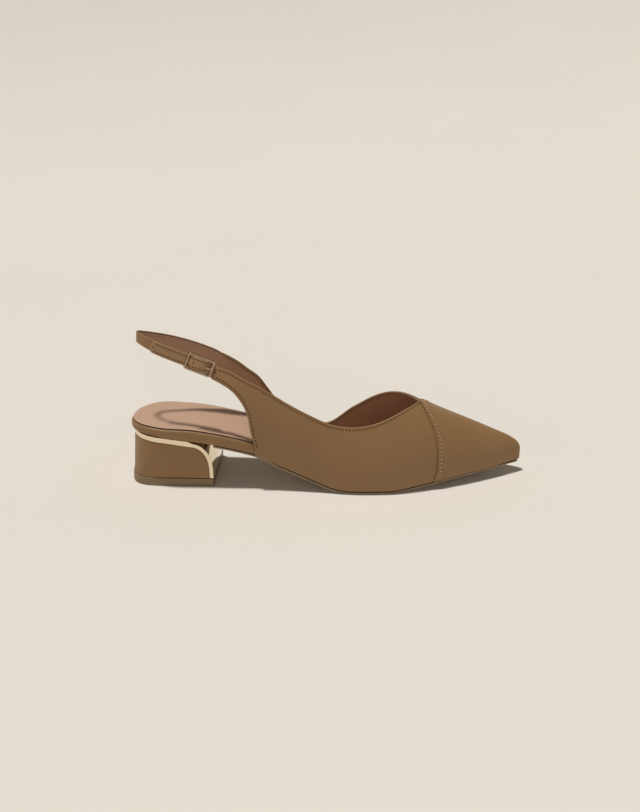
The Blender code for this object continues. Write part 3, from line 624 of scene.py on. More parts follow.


# Upper. Vamp, quarters and wings are cut from camel leather, closed with a pale lining, and their
# edges folded, so the rim is round and the lining starts in a groove inside it, which is painted dark
# as shade. The wall is 1.6 mm.

GROOVE_DEPTH = 0.00014
GROOVE_MIDDLE = 1.2
GROOVE_END = 1.4
SLACK_FADE = 0.006
THROAT = 0.733
FAN_FRONT = 0.400
TOPLINE = (
    # x     outer  inner
    (0.222, 0.625, 0.615),
    (0.263, 0.572, 0.510),
    (0.290, 0.530, 0.440),
    (0.316, 0.508, 0.395),
    (0.345, 0.488, 0.295),
    (0.370, 0.470, 0.220),
    (0.400, 0.448, 0.182),
    (0.440, 0.428, 0.164),
    (0.465, 0.420, 0.162),
    (0.490, 0.415, 0.172),
    (0.510, 0.416, 0.203),
    (0.530, 0.423, 0.253),
    (0.556, 0.438, 0.331),
    (0.584, 0.463, 0.410),
    (0.612, 0.502, 0.506),
    (0.640, 0.560, 0.610),
    (0.665, 0.628, 0.715),
    (0.684, 0.695, 0.790),
    (0.710, 0.815, 0.880),
    (0.733, 1.000, 1.000),
)
OUTER_BACK = (
    # x     girth
    (0.323, 0.000),
    (0.321, 0.055),
    (0.312, 0.150),
    (0.306, 0.240),
    (0.295, 0.312),
    (0.281, 0.365),
    (0.264, 0.415),
    (0.238, 0.465),
    (0.217, 0.500),
)
INNER_BACK = (
    # x     girth
    (0.323, 0.000),
    (0.321, 0.055),
    (0.312, 0.145),
    (0.303, 0.205),
    (0.288, 0.258),
    (0.270, 0.300),
    (0.248, 0.338),
    (0.225, 0.372),
    (0.203, 0.401),
)
WING_X = TOPLINE[0][0] * LENGTH
WING_GIRTH = {OUTER: OUTER_BACK[-1][1], INNER: INNER_BACK[-1][1]}
THROAT_X = THROAT * LENGTH
FAN_X = FAN_FRONT * LENGTH
GIRTH_SCALE = VAMP_HEIGHT * 1.5
BACK_COLUMNS = 75
FOOT_COLUMNS = 20
OPEN_COLUMNS = 90
TOE_COLUMNS = 90
EDGE_ROWS = 6
MIDDLE_ROWS = 34
RIM = LEATHER / 2
ROUND_STEPS = 1 - np.cos(math.pi / 2 * np.arange(EDGE_ROWS + 1) / EDGE_ROWS)


def topline(side, x):
    """Girth at which the upper's opening cuts one side."""
    return table_at(x, TOPLINE, 1 if side == OUTER else 2)


def top_line(side, xs, scale=1.0):
    """X and girth of the topline at places along the foot."""
    return np.stack([xs, topline(side, xs) * scale], axis=1)


def back_line(side, girths, scale=1.0):
    """X and girth of the wing's back edge at girths."""
    table = OUTER_BACK if side == OUTER else INNER_BACK
    xs = smooth(girths, column(table, 1), column(table, 0, LENGTH))
    return np.stack([xs, girths * scale], axis=1)


def run_lengths(points):
    """Distance along a path at each of its points."""
    return np.concatenate([[0], np.cumsum(np.linalg.norm(np.diff(points, axis=0), axis=1))])


def sampled(at, lengths, values):
    """Values at distances along a path."""
    return np.stack([np.interp(at, lengths, part) for part in values.T], axis=-1)


def path_points(points, shares):
    """Points at shares of the length of a path."""
    points = np.asarray(points, float)
    lengths = run_lengths(points)
    return sampled(np.asarray(shares) * lengths[-1], lengths, points)


def rim_then_even(rim, count):
    """Shares of a path that first follow a rounded rim and its groove, and then run evenly."""
    start = np.concatenate([rim, rim[-1:] * GROOVE_MIDDLE, rim[-1:] * GROOVE_END])
    return np.concatenate([start, np.linspace(start[-1], 1.0, count + 1)[1:]])


def upper_columns(side):
    """Lower and upper end of each column, as x and scaled girth, from the wing to the tip."""
    back = back_line(side, np.linspace(WING_GIRTH[side], 0.0, 400), GIRTH_SCALE)
    top = top_line(side, np.linspace(WING_X, FAN_X, 400), GIRTH_SCALE)
    rim = RIM * ROUND_STEPS
    low_fan = path_points(back, rim_then_even(rim / run_lengths(back)[-1], BACK_COLUMNS))
    foot = np.linspace(0, 1, FOOT_COLUMNS + 1)[1:, None]
    low_foot = back[-1] + foot * (np.array([FAN_X, 0.0]) - back[-1])
    low = np.concatenate([low_fan, low_foot])
    high = path_points(top, rim_then_even(rim / run_lengths(top)[-1], BACK_COLUMNS + FOOT_COLUMNS))
    open_x = np.linspace(FAN_X, THROAT_X, OPEN_COLUMNS + 1)[1:-1]
    toe_x = LENGTH - (toe_warp(THROAT_X) * (1 - np.arange(TOE_COLUMNS + 1) / TOE_COLUMNS)) ** 2
    low_rest = [(x, 0.0) for x in np.concatenate([open_x, toe_x])]
    high_toe = [(x, GIRTH_SCALE) for x in toe_x]
    high = np.concatenate([high, top_line(side, open_x, GIRTH_SCALE), high_toe])
    return np.concatenate([low, low_rest]), high


def rim_rows(low_rim, high_rim):
    """Shares of a column's length, close together in the rims and in the grooves beside them."""
    turn = np.concatenate([ROUND_STEPS, [GROOVE_MIDDLE, GROOVE_END]])
    middle = np.linspace(low_rim * turn[-1], 1 - high_rim * turn[-1], MIDDLE_ROWS + 1)[1:-1]
    return np.concatenate([low_rim * turn, middle, 1 - high_rim * turn[::-1]])


def rim_drop(distance, radius):
    """How far a rounded rim falls away from the face, at a distance from its edge."""
    inside = radius - np.clip(distance, 0.0, radius)
    return radius - np.sqrt(np.maximum(radius * radius - inside * inside, 0.0))


def free_border(side):
    """A finely sampled line of x and girth round the upper's free edge, from the foot to the throat."""
    back = back_line(side, np.linspace(0.0, WING_GIRTH[side], 2500))
    top = top_line(side, np.linspace(WING_X, THROAT_X, 9000))
    share = np.linspace(0, 1, 600)[1:-1, None]
    return np.concatenate([back, back[-1] + share * (top[0] - back[-1]), top])


def edge_distance(side, places):
    """Distance of places of x and scaled girth from the upper's free edge."""
    border = free_border(side)
    line = last_surface(side, border[:, 0], border[:, 1])
    tree = kdtree.KDTree(len(line))
    for index, spot in enumerate(line):
        tree.insert(spot, index)
    tree.balance()
    spots = last_surface(side, places[..., 0], places[..., 1] / GIRTH_SCALE).reshape(-1, 3)
    return np.array([tree.find(spot)[2] for spot in spots]).reshape(places.shape[:-1])


def upper_grid(side):
    """Places on the last of one side's columns, and their distance from the nearest free edge."""
    low, high = upper_columns(side)
    step = high - low
    probe = low[:, None] + step[:, None] * np.linspace(0, 1, 24)[:, None]
    spots = last_surface(side, probe[..., 0], probe[..., 1] / GIRTH_SCALE)
    lengths = np.linalg.norm(np.diff(spots, axis=1), axis=2).sum(axis=1)
    share = np.minimum(RIM / lengths, 0.2)[:, None]
    reach = edge_distance(side, np.stack([low + step * share, high - step * share], axis=1))
    rims = np.minimum(share * np.clip(RIM / np.maximum(reach, 1e-5), 1.0, 2.5), 0.3)
    rows = np.array([rim_rows(low_rim, high_rim) for low_rim, high_rim in rims])
    places = low[:, None] + step[:, None] * rows[..., None]
    edge = edge_distance(side, places)
    edge[: BACK_COLUMNS + EDGE_ROWS + 3, 0] = 0.0
    edge[: len(low) - TOE_COLUMNS, -1] = 0.0
    edge[0] = 0.0
    return places[..., 0], places[..., 1] / GIRTH_SCALE, edge


def slack(x, girth):
    """Soft troughs and swells where the leather relaxes after lasting, in metres."""
    waist = np.exp(-((x / LENGTH - 0.47) / 0.10) ** 2) * np.sin(34 * x / LENGTH + 5 * girth)
    vamp = np.exp(-((x / LENGTH - 0.64) / 0.09) ** 2) * np.sin(20 * x / LENGTH - 7 * girth + 1)
    return (0.00010 * waist + 0.00008 * vamp) * np.sin(math.pi * np.clip(girth, 0, 1)) ** 0.5


def grid_quads(columns, rows, start):
    """Quads of a grid whose points are stored column by column."""
    index = start + np.arange(columns * rows).reshape(columns, rows)
    quads = np.stack([index[:-1, :-1], index[:-1, 1:], index[1:, 1:], index[1:, :-1]], axis=-1)
    return [tuple(quad) for quad in quads.reshape(-1, 4).tolist()]


def rim_quads(columns, rows, ridge_start):
    """Quads along a wall's free border, which leave out the tip, and the ridge from a column on."""
    border = [(0, r) for r in range(rows)]
    border += [(c, rows - 1) for c in range(1, columns)]
    border += [(columns - 1, r) for r in range(rows - 2, -1, -1)]
    border += [(c, 0) for c in range(columns - 2, 0, -1)]
    count = columns * rows
    quads = []
    for a, b in zip(border, border[1:] + border[:1]):
        ridge = a[1] == b[1] == rows - 1 and min(a[0], b[0]) >= ridge_start
        if not ridge and not a[0] == b[0] == columns - 1:
            i, j = a[0] * rows + a[1], b[0] * rows + b[1]
            quads.append((i, j, j + count, i + count))
    return quads


def wall_part(layers, ridge_start):
    """Points and faces of one side's wall: its outer face, its inner face and its border."""
    columns, rows = layers[0].shape[:2]
    faces = grid_quads(columns, rows, 0) + grid_quads(columns, rows, columns * rows)
    faces += rim_quads(columns, rows, ridge_start)
    return np.concatenate([layer.reshape(-1, 3) for layer in layers]), faces


def joined(parts):
    """Several point and face lists as one."""
    points, faces, start = [], [], 0
    for part_points, part_faces in parts:
        points.append(part_points)
        faces += [tuple(start + i for i in face) for face in part_faces]
        start += len(part_points)
    return np.concatenate(points), faces


# Zones of faces: outer leather, lining, and the groove, which takes the painted shade finish
OUTSIDE, INSIDE, GROOVE_SHADE = 0, 1, 2


def shell_layers(outside, inside, drop, sink, inner_sink=0.0):
    """The two faces of a wall with rounded rims, each let in by a little more."""
    inward = unit(inside - outside)
    inner_drop = drop + inner_sink
    return outside + inward * (drop + sink)[..., None], inside - inward * inner_drop[..., None]


def upper_mesh():
    """Points, faces and zones of the whole upper."""
    parts, zones = [], []
    for side in (OUTER, INNER):
        xs, girths, edge = upper_grid(side)
        fade = np.clip(edge / SLACK_FADE, 0.0, 1.0) ** 2
        layers = shell_layers(
            last_surface(side, xs, girths),
            last_surface(side, xs, girths, -LEATHER),
            rim_drop(edge, RIM),
            np.maximum(-slack(xs, girths), 0.0) * fade,
            GROOVE_DEPTH * np.clip(1 - np.abs(edge / RIM - GROOVE_MIDDLE) / 0.2, 0.0, 1.0),
        )
        parts.append(wall_part(layers, len(xs) - TOE_COLUMNS - 1))
        far = (edge[:-1, :-1] + edge[1:, 1:]).reshape(-1) / 2
        rim, groove = RIM * 0.98, RIM * (GROOVE_END + 0.02)
        zones += [OUTSIDE] * len(far)
        # Faces in the groove just inside the rim are painted shade
        zones += [OUTSIDE if d < rim else GROOVE_SHADE if d < groove else INSIDE for d in far]
        zones += [OUTSIDE] * (len(parts[-1][1]) - 2 * len(far))
    return *joined(parts), zones


# Pale pinkish brown lining, matt, with a fine grain
LINING_FINISH = make_finish(
    "lining",
    0.58,
    (0.400, 0.225, 0.140),
    (0.345, 0.190, 0.115),
    (40.0, 600.0, 0.35),
    (1700.0, 220.0, 0.4, 0.0003, 0.25),
)
UPPER_FINISHES = [LEATHER_FINISH, LINING_FINISH, SHADE_FINISH]
make_piece("upper_shell", upper_mesh(), UPPER_FINISHES, "upper", 60.0)


# Stitches. Twisted thread, sunk at both ends of each stitch, about 2 mm from the folded edges: along
# the toplines, down the back edges and across the wings' ends. Each leaves a small needle hole, drawn
# as a dark mark of painted shade.

STITCH_PITCH = 0.0022
STITCH_LENGTH = 0.0014
THREAD_RADIUS = 0.00030
NEEDLE_HOLE = 0.00016
STITCH_INSET = 0.0019
STITCH_STATIONS = 7
THREAD_SIDES = 8


def surface_frame(side, x, girth, distance):
    """Places on the last, how they move with x and with girth, and the outward direction."""
    step_x, step_girth = 0.0001, 0.001

    def near(by_x, by_girth, by_distance=0.0):
        return last_surface(side, x + by_x, girth + by_girth, distance + by_distance)

    spot = near(0.0, 0.0)
    by_x = near(step_x, 0.0) - near(-step_x, 0.0)
    by_girth = near(0.0, step_girth) - near(0.0, -step_girth)
    normal = unit(np.cross(by_x, by_girth))
    away = near(0.0, 0.0, 0.0005) - spot
    normal *= np.sign((normal * away).sum(axis=-1))[..., None]
    return spot, by_x / (2 * step_x), by_girth / (2 * step_girth), normal


def inset_path(side, xs, girths, inset, toward, distance=0.0):
    """A path moved over the surface by a distance, toward growing x or toward the sole."""
    spot, by_x, by_girth, normal = surface_frame(side, xs, girths, distance)
    inward = np.cross(normal, unit(np.gradient(spot, axis=0)))
    a, b, c = (by_x ** 2).sum(1), (by_x * by_girth).sum(1), (by_girth ** 2).sum(1)
    p, q = (by_x * inward).sum(1) * inset, (by_girth * inward).sum(1) * inset
    size = a * c - b * b
    move_x, move_girth = (c * p - b * q) / size, (a * q - b * p) / size
    sense = np.sign(move_x.sum() if toward == "front" else -move_girth.sum())
    return xs + sense * move_x, girths + sense * move_girth


def capped_faces(stations, size):
    """Quads of a tube with flat ends."""
    ends = [tuple(range(size)), tuple(range((stations - 1) * size, stations * size))]
    return tube_faces(stations, size) + ends


def stitch_row(line, normals, pitch, length, radius, flat=1.0, sink=0.3, shift=0.0):
    """Points and faces of a row of stitches along a line, each bent down at its ends."""
    lengths = run_lengths(line)
    count = max(int((lengths[-1] - length) / pitch), 1)
    spare = lengths[-1] - count * pitch
    middles = spare / 2 + pitch * (np.arange(count) + 0.5 + shift)
    reach = np.linspace(-1, 1, STITCH_STATIONS)
    at = middles[:, None] + reach[None, :] * length / 2
    spots = sampled(at, lengths, line)
    up = unit(sampled(at, lengths, normals))
    across = np.cross(unit(np.gradient(spots, axis=1)), up)
    thick = radius * (1 - 0.45 * reach ** 4)
    rise = radius * flat * (0.55 - (0.55 + sink * 2) * reach ** 4)
    spots = spots + up * rise[None, :, None]
    turn = 2 * math.pi * np.arange(THREAD_SIDES) / THREAD_SIDES
    rings = (
        spots[:, :, None]
        + across[:, :, None] * (np.cos(turn)[None, None, :] * thick[None, :, None])[..., None]
        + up[:, :, None] * (np.sin(turn)[None, None, :] * thick[None, :, None] * flat)[..., None]
    )
    stitch = capped_faces(STITCH_STATIONS, THREAD_SIDES)
    size = STITCH_STATIONS * THREAD_SIDES
    faces = [tuple(size * k + i for i in face) for k in range(count) for face in stitch]
    return rings.reshape(-1, 3), faces


def stitch_piece(
    name,
    thread,
    lines,
    pitch=STITCH_PITCH,
    length=STITCH_LENGTH,
    radius=THREAD_RADIUS,
    hole=NEEDLE_HOLE,
    punched=(),
):
    """Stitches along several lines, with a dark mark of painted shade for the needle hole between each
    two, and for other punched holes. Their sizes are the pitch, the stitch's length and the radii of
    thread and needle hole."""
    stitches = joined([stitch_row(line, up, pitch, length, radius) for line, up in lines])
    gap = 0.4 * (pitch - length)
    rows = [stitch_row(line, up, pitch, gap, hole, 0.16, 0.1, 0.5) for line, up in lines]
    # The needle holes and punched holes take the painted shade finish
    hole_shades = joined([*rows, *punched])
    points, faces = joined([stitches, hole_shades])
    zones = [0] * len(stitches[1]) + [1] * len(hole_shades[1])
    shape = points, faces, zones
    make_piece(name, shape, [thread, SHADE_FINISH], None, 80.0)


def surface_line(side, xs, girths, distance=0.0, below=0.0):
    """A line on the last with its upward direction, a little below or above the surface."""
    spot, _, _, normal = surface_frame(side, xs, girths, distance)
    if distance < 0:
        normal = -normal
    return spot - normal * below, normal


def topline_stitch_path(side):
    """X and girth of the stitches along a topline, from the wing's end to the ridge."""
    xs = np.linspace(WING_X + 0.0005, THROAT_X - 0.0005 * LENGTH, 700)
    inset_x, inset_girth = inset_path(side, xs, topline(side, xs), STITCH_INSET, "sole")
    keep = (inset_girth < 0.995) & (inset_x > WING_X + 0.0018)
    return inset_x[keep], inset_girth[keep]


def back_stitch_path(side):
    """X and girth of the stitches down a back edge, from the foot to the wing's end."""
    back = back_line(side, np.linspace(0.035, WING_GIRTH[side] - 0.004, 400))
    return inset_path(side, back[:, 0], back[:, 1], STITCH_INSET, "front")


def wing_end_stitch_path(side):
    """X and girth of the stitches across a wing's end."""
    top_x, top_girth = topline_stitch_path(side)
    back_x, back_girth = back_stitch_path(side)
    low, high = np.array([back_x[-1], back_girth[-1]]), np.array([top_x[0], top_girth[0]])
    return tuple(low[:, None] + (high - low)[:, None] * np.linspace(0.12, 0.88, 20))


def thread_finish(name, light, dark):
    """Twisted thread with a soft sheen."""
    grain = (6000.0, 1500.0, 0.3, 0.0001, 0.5)
    return make_finish(name, 0.6, light, dark, (800.0, 4000.0, 0.35), grain, Specular_IOR_Level=0.2)


# Painted shade: the same thread as on the cap, made nearly black where the stitches lie in shade on the
# quarters and straps
SHADED_THREAD_FINISH = thread_finish("camel_thread_painted_shade", (0.075, 0.038, 0.017), (0.050, 0.025, 0.011))
LINING_THREAD = thread_finish("lining_thread", (0.300, 0.180, 0.110), (0.230, 0.130, 0.080))
outer_lines, inner_lines = [], []
for side in (OUTER, INNER):
    for xs, girths in (topline_stitch_path(side), back_stitch_path(side), wing_end_stitch_path(side)):
        outer_lines.append(surface_line(side, xs, girths))
        inner_lines.append(surface_line(side, xs, girths, -LEATHER))
stitch_piece("quarter_stitches", SHADED_THREAD_FINISH, outer_lines)
stitch_piece("lining_stitches", LINING_THREAD, inner_lines)


# Toe cap. A thin second layer over the toe. Its back edge is folded and stitched down 2.6 mm ahead of
# the fold, which pulls a shallow furrow into it and leaves a dark line where it meets the vamp.

CAP_LEATHER = 0.0006
CAP_SEAM = (
    # girth x
    (0.00, 0.772),
    (0.12, 0.779),
    (0.30, 0.780),
    (0.50, 0.772),
    (0.72, 0.756),
    (1.00, 0.733),
)
CAP_ROWS = 60
CAP_STITCH = 0.0026
CAP_STITCH_SIZES = (0.0026, 0.0013, 0.00038, 0.00030)
FURROW_DEPTH = 0.00020
FURROW_HALF = 0.0009
CAP_FOLD_SHARE = 0.0036
CAP_FURROW_SHARE = 0.045


def seam_x(girth):
    """X of the toe cap's edge at a girth."""
    return smooth(girth, column(CAP_SEAM, 0), column(CAP_SEAM, 1, LENGTH))


def cap_mesh():
    """Points and faces of the cap, with a rounded back edge and a furrow under its stitches."""
    parts = []
    furrow = np.linspace(CAP_FOLD_SHARE, CAP_FURROW_SHARE, 20)[1:]
    rest = np.linspace(CAP_FURROW_SHARE, 1, 90)[1:]
    shares = np.concatenate([CAP_FOLD_SHARE * ROUND_STEPS, furrow, rest])
    for side in (OUTER, INNER):
        girths = np.linspace(0, 1, CAP_ROWS + 1)[None, :]
        xs = LENGTH - (toe_warp(seam_x(girths)) * (1 - shares[:, None])) ** 2
        girths = np.broadcast_to(girths, xs.shape)
        spots = last_surface(side, xs, girths)
        steps = np.linalg.norm(np.diff(spots, axis=0), axis=-1)
        edge = np.concatenate([np.zeros((1, xs.shape[1])), np.cumsum(steps, axis=0)])
        layers = shell_layers(
            last_surface(side, xs, girths, GAP + CAP_LEATHER),
            last_surface(side, xs, girths, GAP),
            rim_drop(edge, CAP_LEATHER / 2),
            FURROW_DEPTH * np.exp(-((edge - CAP_STITCH) / FURROW_HALF) ** 2),
        )
        parts.append(wall_part(layers, 0))
    return joined(parts)


def cap_stitch_lines():
    """The stitches along the cap's edge, from the sole over the ridge on both sides."""
    lines = []
    for side in (OUTER, INNER):
        girths = np.linspace(0.03, 0.998, 500)
        height = GAP + CAP_LEATHER
        xs, girths = inset_path(side, seam_x(girths), girths, CAP_STITCH, "front", height)
        keep = girths < 0.998
        lines.append(surface_line(side, xs[keep], girths[keep], height, FURROW_DEPTH))
    return lines


make_piece("toe_cap_leather", cap_mesh(), [LEATHER_FINISH], "toe_cap", 60.0)
# Painted light: the same thread made pale, as the cap's stitches catch the light
LIT_CAP_THREAD = thread_finish("cap_thread_painted_light", (0.600, 0.440, 0.285), (0.520, 0.370, 0.230))
stitch_piece("cap_stitches", LIT_CAP_THREAD, cap_stitch_lines(), *CAP_STITCH_SIZES)


# Heel. The block is wrapped in the upper's leather and stands on an olive rubber top lift. A polished
# pale gold plate lies over it: a wedge below the footbed that bends down over the breast.

HEEL_BACK = -0.0008
HEEL_HALF_WIDTH = 0.0248
HEEL_SQUARE = 0.36 * HEEL_LENGTH
HEEL_POWER = 3.0
HEEL_TOP_POWER = 2.05
HEEL_FLARE = 0.0016
BLOCK_INSET = 0.0005
TRIM_INSET = 0.0003
TOP_LIFT = 0.0055
BLOCK_TOP = (
    # x      height
    (-0.07, 0.970),
    (0.18, 0.958),
    (0.39, 0.920),
    (0.59, 0.872),
    (0.73, 0.835),
)
SHOULDER_X = 0.947 * HEEL_LENGTH
SHOULDER_DROP = 0.51 * HEEL_RISE
SHOULDER_POWER = 0.9
BREAST_SLOPE = 0.0004
TRIM_FRONT = 0.0029
TRIM_CORNER = 0.76 * HEEL_LENGTH
BACK_TURNS = np.linspace(0.0, math.pi / 2, 49)
SHOULDER_STEPS = 36


def block_profile(grow):
    """Top and breast of the heel block in side view, moved outward by a distance."""
    xs = np.linspace(BLOCK_TOP[0][0], BLOCK_TOP[-1][0], 24)
    heights = smooth(xs, column(BLOCK_TOP, 0), column(BLOCK_TOP, 1))
    top = [(HEEL_LENGTH * x, HEEL_RISE * z) for x, z in zip(xs, heights)]
    corner_x, corner_z = top[-1]
    for k in range(1, SHOULDER_STEPS + 1):
        turn = math.pi / 2 * k / SHOULDER_STEPS
        x = corner_x + (SHOULDER_X - corner_x) * math.sin(turn) ** SHOULDER_POWER
        z = corner_z - SHOULDER_DROP * (1 - math.cos(turn) ** SHOULDER_POWER)
        top.append((x, z))
    low = top[-1][1]
    for k in range(1, 5):
        top.append((SHOULDER_X + BREAST_SLOPE * k / 4, low * (1 - k / 4)))
    return offset_line(top, grow)


def back_place(turn, inset, z):
    """X and y on the heel's rounded back, which gets rounder from the floor up to the seat."""
    reach, half = HEEL_SQUARE - HEEL_BACK - inset, HEEL_HALF_WIDTH - inset
    power = HEEL_POWER + (HEEL_TOP_POWER - HEEL_POWER) * z / HEEL_RISE
    x = HEEL_SQUARE - reach * max(math.cos(turn), 0.0) ** (2 / power)
    lean = 1 - HEEL_FLARE * z / HEEL_RISE / HEEL_LENGTH
    return HEEL_LENGTH - (HEEL_LENGTH - x) * lean, half * math.sin(turn) ** (2 / power)


def back_level(inset, z):
    """The rounded back at one level."""
    return [(*back_place(turn, inset, z), z) for turn in BACK_TURNS]


def back_under(inset, heights):
    """The rounded back where it meets a line in side view."""
    spots = []
    for turn in BACK_TURNS:
        z = HEEL_RISE
        for _ in range(8):
            x, y = back_place(turn, inset, z)
            z = heights(x)
        spots.append((x, y, z))
    return spots


def heel_piece(name, lower, upper, finish, stands_for, edge=0.0003):
    """A part of the heel between a lower and an upper line of places on its near half."""
    points = []
    for low, high in zip(lower, upper):
        points += [low, high, (high[0], -high[1], high[2]), (low[0], -low[1], low[2])]
    shape = place(points), capped_faces(len(lower), 4)
    piece = make_piece(name, shape, [finish], stands_for, 30.0)
    form = bmesh.new()
    form.from_mesh(piece.data)
    bmesh.ops.dissolve_limit(
        form, angle_limit=math.radians(0.4), verts=form.verts, edges=form.edges, delimit=set()
    )
    sharp = [e for e in form.edges if e.is_manifold and e.calc_face_angle(0.0) > math.radians(34)]
    bmesh.ops.bevel(
        form, geom=sharp, offset=edge, segments=3, profile=0.5, affect="EDGES", clamp_overlap=True
    )
    form.to_mesh(piece.data)
    form.free()
    piece.data.shade_smooth()
    piece.data.set_sharp_from_angle(angle=math.radians(35))


def block_stations(inset, line, low):
    """Lower and upper places of the block: the rounded back, then along a line in side view."""
    def heights(x):
        return float(np.interp(x, line[:, 0], line[:, 1]))

    upper, lower = back_under(inset, heights), back_level(inset, low)
    half = HEEL_HALF_WIDTH - inset
    for x, z in line[line[:, 0] > upper[-1][0] + 0.0004]:
        if z < low + 0.0002:
            break
        upper.append((x, half, z))
        lower.append((x, half, low))
    end = SHOULDER_X + BREAST_SLOPE
    upper.append((end, half, low + 0.0002))
    lower.append((end, half, low))
    return lower, upper


def trim_stations():
    """Lower and upper places of the gold plate."""
    inner, outer = block_profile(GAP), block_profile(TRIM_FRONT)
    low = TOP_LIFT + GAP
    half = HEEL_HALF_WIDTH - TRIM_INSET

    def under(x):
        return float(np.interp(x, inner[:, 0], inner[:, 1]))

    def over(x):
        return float(lasting_z(x) - GAP)

    lower, upper = back_under(TRIM_INSET, under), back_under(TRIM_INSET, over)
    seat_end = 0.71 * HEEL_LENGTH
    for x in np.linspace(upper[-1][0], seat_end, 14)[1:]:
        upper.append((x, half, over(x)))
        lower.append((x, half, under(x)))
    paths = []
    for line, start, height in ((outer, TRIM_CORNER, over), (inner, seat_end, under)):
        bend = [tuple(p) for p in line if p[0] > start and p[1] > low]
        paths.append([(seat_end, height(seat_end)), *bend, (bend[-1][0] + 0.00002, low)])
    shares = np.linspace(0, 1, 70)[1:]
    for (ox, oz), (ix, iz) in zip(*(path_points(path, shares) for path in paths)):
        upper.append((ox, half, oz))
        lower.append((ix, half, iz))
    return lower, upper


def gold_finish(name, colour, roughness):
    """Polished plated metal with faint marks of the polishing."""
    dark = tuple(0.94 * c for c in colour)
    grain = (500.0, 70.0, 0.85, 0.0004, 0.08)
    return make_finish(name, roughness, colour, dark, (30.0, 300.0, 0.35), grain, Metallic=1.0)


# Matt olive tan rubber
LIFT_FINISH = make_finish(
    "olive_rubber",
    0.52,
    (0.245, 0.165, 0.085),
    (0.205, 0.136, 0.068),
    (50.0, 800.0, 0.35),
    (2600.0, 500.0, 0.3, 0.0002, 0.3),
)
GOLD_FINISH = gold_finish("pale_gold", (0.86, 0.73, 0.53), 0.07)
lower = back_level(0.0, 0.0) + [(HEEL_LENGTH, HEEL_HALF_WIDTH, 0.0)]
upper = back_level(0.0, TOP_LIFT) + [(HEEL_LENGTH, HEEL_HALF_WIDTH, TOP_LIFT)]
heel_piece("top_lift_rubber", lower, upper, LIFT_FINISH, "top_lift")
lower, upper = block_stations(BLOCK_INSET, block_profile(0.0), TOP_LIFT + GAP)
heel_piece("heel_wrap", lower, upper, LEATHER_FINISH, "heel_block", 0.0004)
lower, upper = trim_stations()
heel_piece("gold_plate", lower, upper, GOLD_FINISH, "heel_trim", 0.00025)


# Straps. Two layers of leather glued back to back with folded edges. The sling runs from the inner
# wing round the heel and over the buckle's middle bar. The front strap comes from the outer wing,
# goes under the buckle's front bar and lies on the sling; two rows of stitches run along it.

STRAP_LOOP = 0.0168
STRAP_HEIGHT = 0.0965
SLING = (
    # x       y      z     lean  width
    (0.2233, -1.00, 0.820, 24.0, 1.00),
    (0.1908, -0.95, 0.851, 20.0, 1.00),
    (0.1469, -0.88, 0.893, 16.0, 1.00),
    (0.0973, -0.79, 0.940, 11.0, 1.00),
    (0.0553, -0.60, 0.981, 7.0, 1.00),
    (0.0328, -0.33, 0.999, 5.0, 1.00),
    (0.0240, 0.00, 0.998, 4.0, 1.00),
    (0.0328, 0.30, 0.980, 4.5, 1.05),
    (0.0553, 0.50, 0.956, 5.5, 1.22),
    (0.0973, 0.68, 0.918, 8.0, 1.46),
    (0.1469, 0.83, 0.866, 13.5, 1.72),
    (0.1908, 0.97, 0.807, 20.5, 2.02),
)
STRAP_THICK = 0.0010
SLING_WIDTH = 0.0074
BUCKLE_X = 0.1870 * LENGTH
BUCKLE_LENGTH = 0.0186
BUCKLE_WIDTH = 0.0112
BAR = 0.0013
RAIL = 0.0015
BAR_DEPTH = 0.0010
BUCKLE_OUT = 0.0017
WING_BUTT = 0.0022
SKEW_REACH = 0.016
BILLET_STITCH = 0.0015
BILLET_STITCH_SIZES = (0.0021, 0.0014, 0.00027)
BILLET_SEEN = 0.0081
BILLET_TIP = 0.0028
BILLET_DRIFT = -0.0012
DRIFT_REACH = 0.0045
SIZE_HOLE_PLACE = 0.0039
SIZE_HOLE_RADIUS = 0.00075
HOLE_SIDES = 20
SEWN_IN = 0.0030
BILLET_REACH = 0.0340
PRONG_THICK = 0.0009
CENTRE_BAR_RADIUS = 0.0005
HALF_BUCKLE = BUCKLE_LENGTH / 2 - BAR / 2
UNDER_BAR = BUCKLE_OUT - BAR_DEPTH / 2 - GAP - STRAP_THICK / 2 - 0.0001
LOOP_RADIUS = CENTRE_BAR_RADIUS + GAP + STRAP_THICK / 2
OVER_BAR = CENTRE_BAR_RADIUS + 2 * GAP + 1.5 * STRAP_THICK
ROUTE_STEPS = 240
LOOP_MIDDLE = 0.06
GROOVE_RIM = 0.00012
STITCH_RISE = 0.00006


def spline(points, share):
    """Point at a share of a smooth curve through the points, by the roots of their chords."""
    points = np.asarray(points, float)
    chords = np.sqrt(np.linalg.norm(np.diff(points[:, :3], axis=0), axis=1))
    knots = np.concatenate([[0], np.cumsum(chords)])
    at = share * knots[-1]
    k = min(int(np.searchsorted(knots, at, side="right")) - 1, len(points) - 2)
    span = knots[k + 1] - knots[k]

    def slope(i):
        low, high = max(i - 1, 0), min(i + 1, len(points) - 1)
        return (points[high] - points[low]) / (knots[high] - knots[low]) * span

    return hermite((at - knots[k]) / span, points[k], slope(k), points[k + 1], slope(k + 1))


def inner_wing_end():
    """Lower and upper corner of the inner wing's end, in the middle of its wall."""
    low_x, low_girth = INNER_BACK[-1]
    xs, girths = [low_x * LENGTH, WING_X], [low_girth, topline(INNER, WING_X)]
    return last_surface(INNER, xs, girths, -LEATHER / 2) - place((0.0, 0.0, 0.0))


